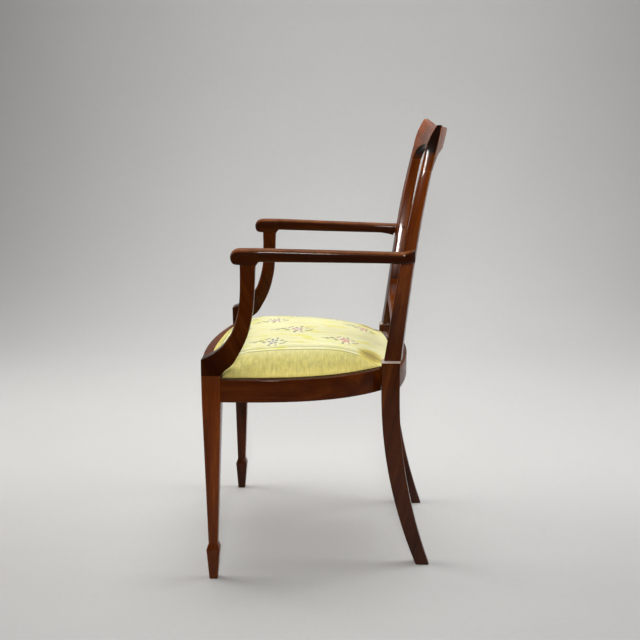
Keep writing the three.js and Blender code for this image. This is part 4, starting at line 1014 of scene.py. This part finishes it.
def sprig_group():
    """One stitched sprig: a lobed flower, leaves round it, two buds and a curling stem toward the front."""
    tree = bpy.data.node_groups.new("sprig", "ShaderNodeTree")
    kinds = {"Point": "Vector", "Colour": "Color", "Centre": "Vector", "Angle": "Float", "Size": "Float",
             "Petal": "Color", "Heart": "Color", "Leaf": "Color"}
    for name, kind in kinds.items():
        tree.interface.new_socket(name=name, in_out="INPUT", socket_type=f"NodeSocket{kind}")
    tree.interface.new_socket(name="Colour", in_out="OUTPUT", socket_type="NodeSocketColor")
    t = Tree(tree)
    given = tree.nodes.new("NodeGroupInput").outputs
    offset = t.node("VectorMath", {0: given["Point"], 1: given["Centre"]}, operation="SUBTRACT").outputs[0]
    turned = t.node("VectorRotate", {"Vector": offset, "Angle": given["Angle"]}, rotation_type="Z_AXIS")
    ux, uy = (t.math("DIVIDE", s, given["Size"]) for s in t.split(turned.outputs[0])[:2])
    ux = t.math("DIVIDE", ux, 0.68)
    r = t.math("SQRT", t.squares(ux, uy))
    theta = t.math("ARCTAN2", uy, ux)
    colour = given["Colour"]

    def spot(x, y, half_x, half_y, shade, strength):
        nonlocal colour
        a = t.math("DIVIDE", t.minus(ux, x), half_x)
        b = t.math("DIVIDE", t.minus(uy, y), half_y)
        inside = t.math("LESS_THAN", t.squares(a, b), 1.0)
        colour = t.mix(t.times(inside, strength), colour, shade)

    # stem: a thin waved line ahead of the flower
    wave = t.times(t.math("SINE", t.times(ux, 2.2)), 0.10)
    near = t.math("LESS_THAN", t.gap(uy, wave), 0.075)
    run = t.times(t.math("GREATER_THAN", ux, 0.9), t.math("LESS_THAN", ux, 3.4))
    colour = t.mix(t.times(t.times(near, run), 0.8), colour, given["Leaf"])
    spot(0, 0, 1.15, 1.0, rgb(0.95, 0.93, 0.80), 0.45)
    for leaf in LEAVES:
        spot(*leaf, given["Leaf"], 0.85)
    for bud in BUDS:
        spot(*bud, given["Petal"], 0.8)

    # flower: five lobes round a pale ring
    lobes = t.math("MULTIPLY_ADD", t.math("COSINE", t.times(theta, 5.0)), 0.17, 0.62)
    petal = t.math("LESS_THAN", r, lobes)
    colour = t.mix(t.times(petal, 0.88), colour, given["Petal"])
    inner = t.math("MULTIPLY_ADD", t.math("COSINE", t.math("MULTIPLY_ADD", theta, 5.0, 2.6)), 0.12, 0.36)
    ring = t.times(t.math("LESS_THAN", r, inner), t.math("GREATER_THAN", r, 0.13))
    colour = t.mix(t.times(ring, 0.85), colour, given["Heart"])

    # worn stitches let the ground show
    colour = t.mix(t.span(t.speckle(given["Point"]), 0.72, 0.76, 0.0, 0.45), colour, given["Colour"])
    t.feed(tree.nodes.new("NodeGroupOutput"), {0: colour})
    return tree


pad, free = build_pad()
bpy.context.collection.objects.link(pad)
swell(pad, free)
bpy.context.collection.objects.unlink(pad)
sculpt_pad(pad)
finish_piece(pad, "seat_pad", needlework(), 60)
pad.modifiers.new("smooth", "SUBSURF").render_levels = 1


# Materials for the CAD nodes that stay
def plain_wood():
    mat, t, shader = new_material("beech_raw")
    coords = t.coords()
    grain = t.stretched(coords, (60, 14, 60), 5, 0.6, 0.8)
    flecks = t.span(t.stretched(coords, (700, 160, 700), 2), 0.6, 0.7)
    colour = t.ramp(grain, [(0.3, rgb(0.30, 0.17, 0.08)), (0.6, rgb(0.47, 0.30, 0.16)), (0.8, rgb(0.55, 0.38, 0.22))])
    colour = t.mix(t.times(flecks, 0.4), colour, rgb(0.22, 0.12, 0.06))
    t.feed(shader, {"Base Color": colour, "Normal": t.bump(grain, 0.2, 0.0005), "Roughness": 0.7})
    return mat


def weave(name, warp, weft, pitch, gap_shade):
    mat, t, shader = new_material(name)
    coords = t.coords()
    waves = [t.math("SINE", t.times(along, math.pi / pitch)) for along in t.split(coords)[:2]]
    crossing = t.times(waves[0], waves[1])
    height = t.math("POWER", t.math("ABSOLUTE", crossing), 0.4)
    fuzz = t.noise(coords, 900.0, 3, 0.6)
    colour = t.mix(t.math("GREATER_THAN", crossing, 0.0), warp, weft)
    # low places between threads darkened: painted shade
    colour = t.mix(t.span(height, 0.0, 0.6, 0.8, 0.0), colour, gap_shade)
    colour = t.mix(t.span(fuzz, 0.3, 0.7, 0.0, 0.3), colour, warp)
    t.feed(shader, {"Base Color": colour, "Normal": t.bump(height, 0.6, 0.0008), "Roughness": 0.95})
    return mat


def screw_steel():
    mat, t, shader = new_material("screw_steel")
    wear = t.noise(t.coords(), 300.0, 4, 0.6)
    colour = t.ramp(wear, [(0.35, rgb(0.20, 0.17, 0.14)), (0.65, rgb(0.48, 0.46, 0.43))])
    t.feed(shader, {"Base Color": colour, "Roughness": t.span(wear, 0.3, 0.7, 0.3, 0.6), "Metallic": 1.0})
    return mat


beech = plain_wood()
webbing = weave("jute_webbing", rgb(0.46, 0.35, 0.20), rgb(0.36, 0.26, 0.14), 0.0022, rgb(0.10, 0.07, 0.04))
hessian = weave("jute_hessian", rgb(0.40, 0.31, 0.19), rgb(0.33, 0.25, 0.15), 0.0012, rgb(0.08, 0.06, 0.04))
DRESS = {"block": beech, "seat_frame": beech, "dowel": beech, "webbing": webbing, "base_cloth": hessian,
         "screw": screw_steel(), "plug": wood_along}

for name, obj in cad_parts.items():
    for word, material in DRESS.items():
        if word in name:
            for slot in obj.material_slots:
                slot.material = material


# Floor that curves up into a backdrop behind the chair as the camera sees it. Lengths here are metres.
SWEEP_NEAR, SWEEP_FROM, SWEEP_RADIUS, SWEEP_HALF_WIDTH, SWEEP_HEIGHT = 6.0, -1.6, 1.4, 6.0, 5.0


def studio_grey():
    mat, t, shader = new_material("studio_grey")
    coords = t.coords()
    cloud = t.noise(coords, 0.9, 3, 0.5)
    grain = t.noise(coords, 60.0, 3, 0.6)
    tone = t.mix(t.span(cloud, 0.3, 0.7, 0.0, 0.5), rgb(0.55, 0.545, 0.535), rgb(0.495, 0.4905, 0.4815))
    tone = t.mix(t.span(grain, 0.3, 0.7, 0.0, 0.06), tone, rgb(0.3, 0.3, 0.3))
    t.feed(shader, {"Base Color": tone, "Roughness": 0.75, "Specular IOR Level": 0.3})
    return mat


def sweep():
    profile = [(SWEEP_NEAR, 0.0), (SWEEP_FROM, 0.0)]
    for angle in range(8, 91, 8):
        a = math.radians(angle)
        profile.append((SWEEP_FROM - SWEEP_RADIUS * math.sin(a), SWEEP_RADIUS - SWEEP_RADIUS * math.cos(a)))
    profile += [(SWEEP_FROM - SWEEP_RADIUS, SWEEP_RADIUS), (SWEEP_FROM - SWEEP_RADIUS, SWEEP_HEIGHT)]
    verts = [(x, y, z) for x, z in profile for y in (-SWEEP_HALF_WIDTH, SWEEP_HALF_WIDTH)]
    faces = [(2 * i, 2 * i + 1, 2 * i + 3, 2 * i + 2) for i in range(len(profile) - 1)]
    mesh = bpy.data.meshes.new("backdrop")
    mesh.from_pydata(verts, [], faces)
    for poly in mesh.polygons:
        poly.use_smooth = True
    obj = bpy.data.objects.new("backdrop", mesh)
    bpy.context.collection.objects.link(obj)
    obj.data.materials.append(studio_grey())


sweep()


def area(name, at, toward, size, power, spread, colour=(1, 1, 1), size_y=None):
    data = bpy.data.lights.new(name, "AREA")
    data.size = size
    data.spread = math.radians(spread)
    if size_y:
        data.shape = "RECTANGLE"
        data.size_y = size_y
    data.energy = power
    data.color = colour
    obj = bpy.data.objects.new(name, data)
    obj.location = at
    obj.rotation_euler = (Vector(toward) - Vector(at)).to_track_quat("-Z", "Y").to_euler()
    bpy.context.collection.objects.link(obj)


area("overhead", (-0.55, -0.1, 3.0), (-0.45, -0.05, 0), 2.2, 15.5, 88, (1.0, 0.99, 0.97))
area("front_box", (-0.6, -2.9, 1.5), (-0.1, 0, 0.3), 1.8, 21, 100, (1.0, 0.985, 0.96))
area("rear_box", (-0.6, 2.9, 1.5), (-0.1, 0, 0.3), 1.8, 18.5, 100, (0.98, 0.99, 1.0))
area("backdrop_top", (-1.9, 0.1, 3.2), (-3.0, 0.1, 1.1), 3.0, 38, 140, size_y=0.6)
area("camera_side", (3.2, 0.1, 1.60), (0, 0.1, 0.70), 0.36, 5.8, 54, (1.0, 0.985, 0.96), size_y=0.40)

# The room behind the camera is darker than the rest, so polished faces stay deep in tone.
world = bpy.data.worlds.new("studio")
bpy.context.scene.world = world
world.use_nodes = True
sky = Tree(world.node_tree)
toward_camera = sky.split(sky.node("TexCoord").outputs["Generated"])[0]
background = world.node_tree.nodes["Background"]
sky.feed(background, {0: rgb(0.95, 0.97, 1.0), 1: sky.span(toward_camera, -0.2, 0.7, 0.22, 0.06)})

bpy.context.scene.view_settings.view_transform = "Standard"
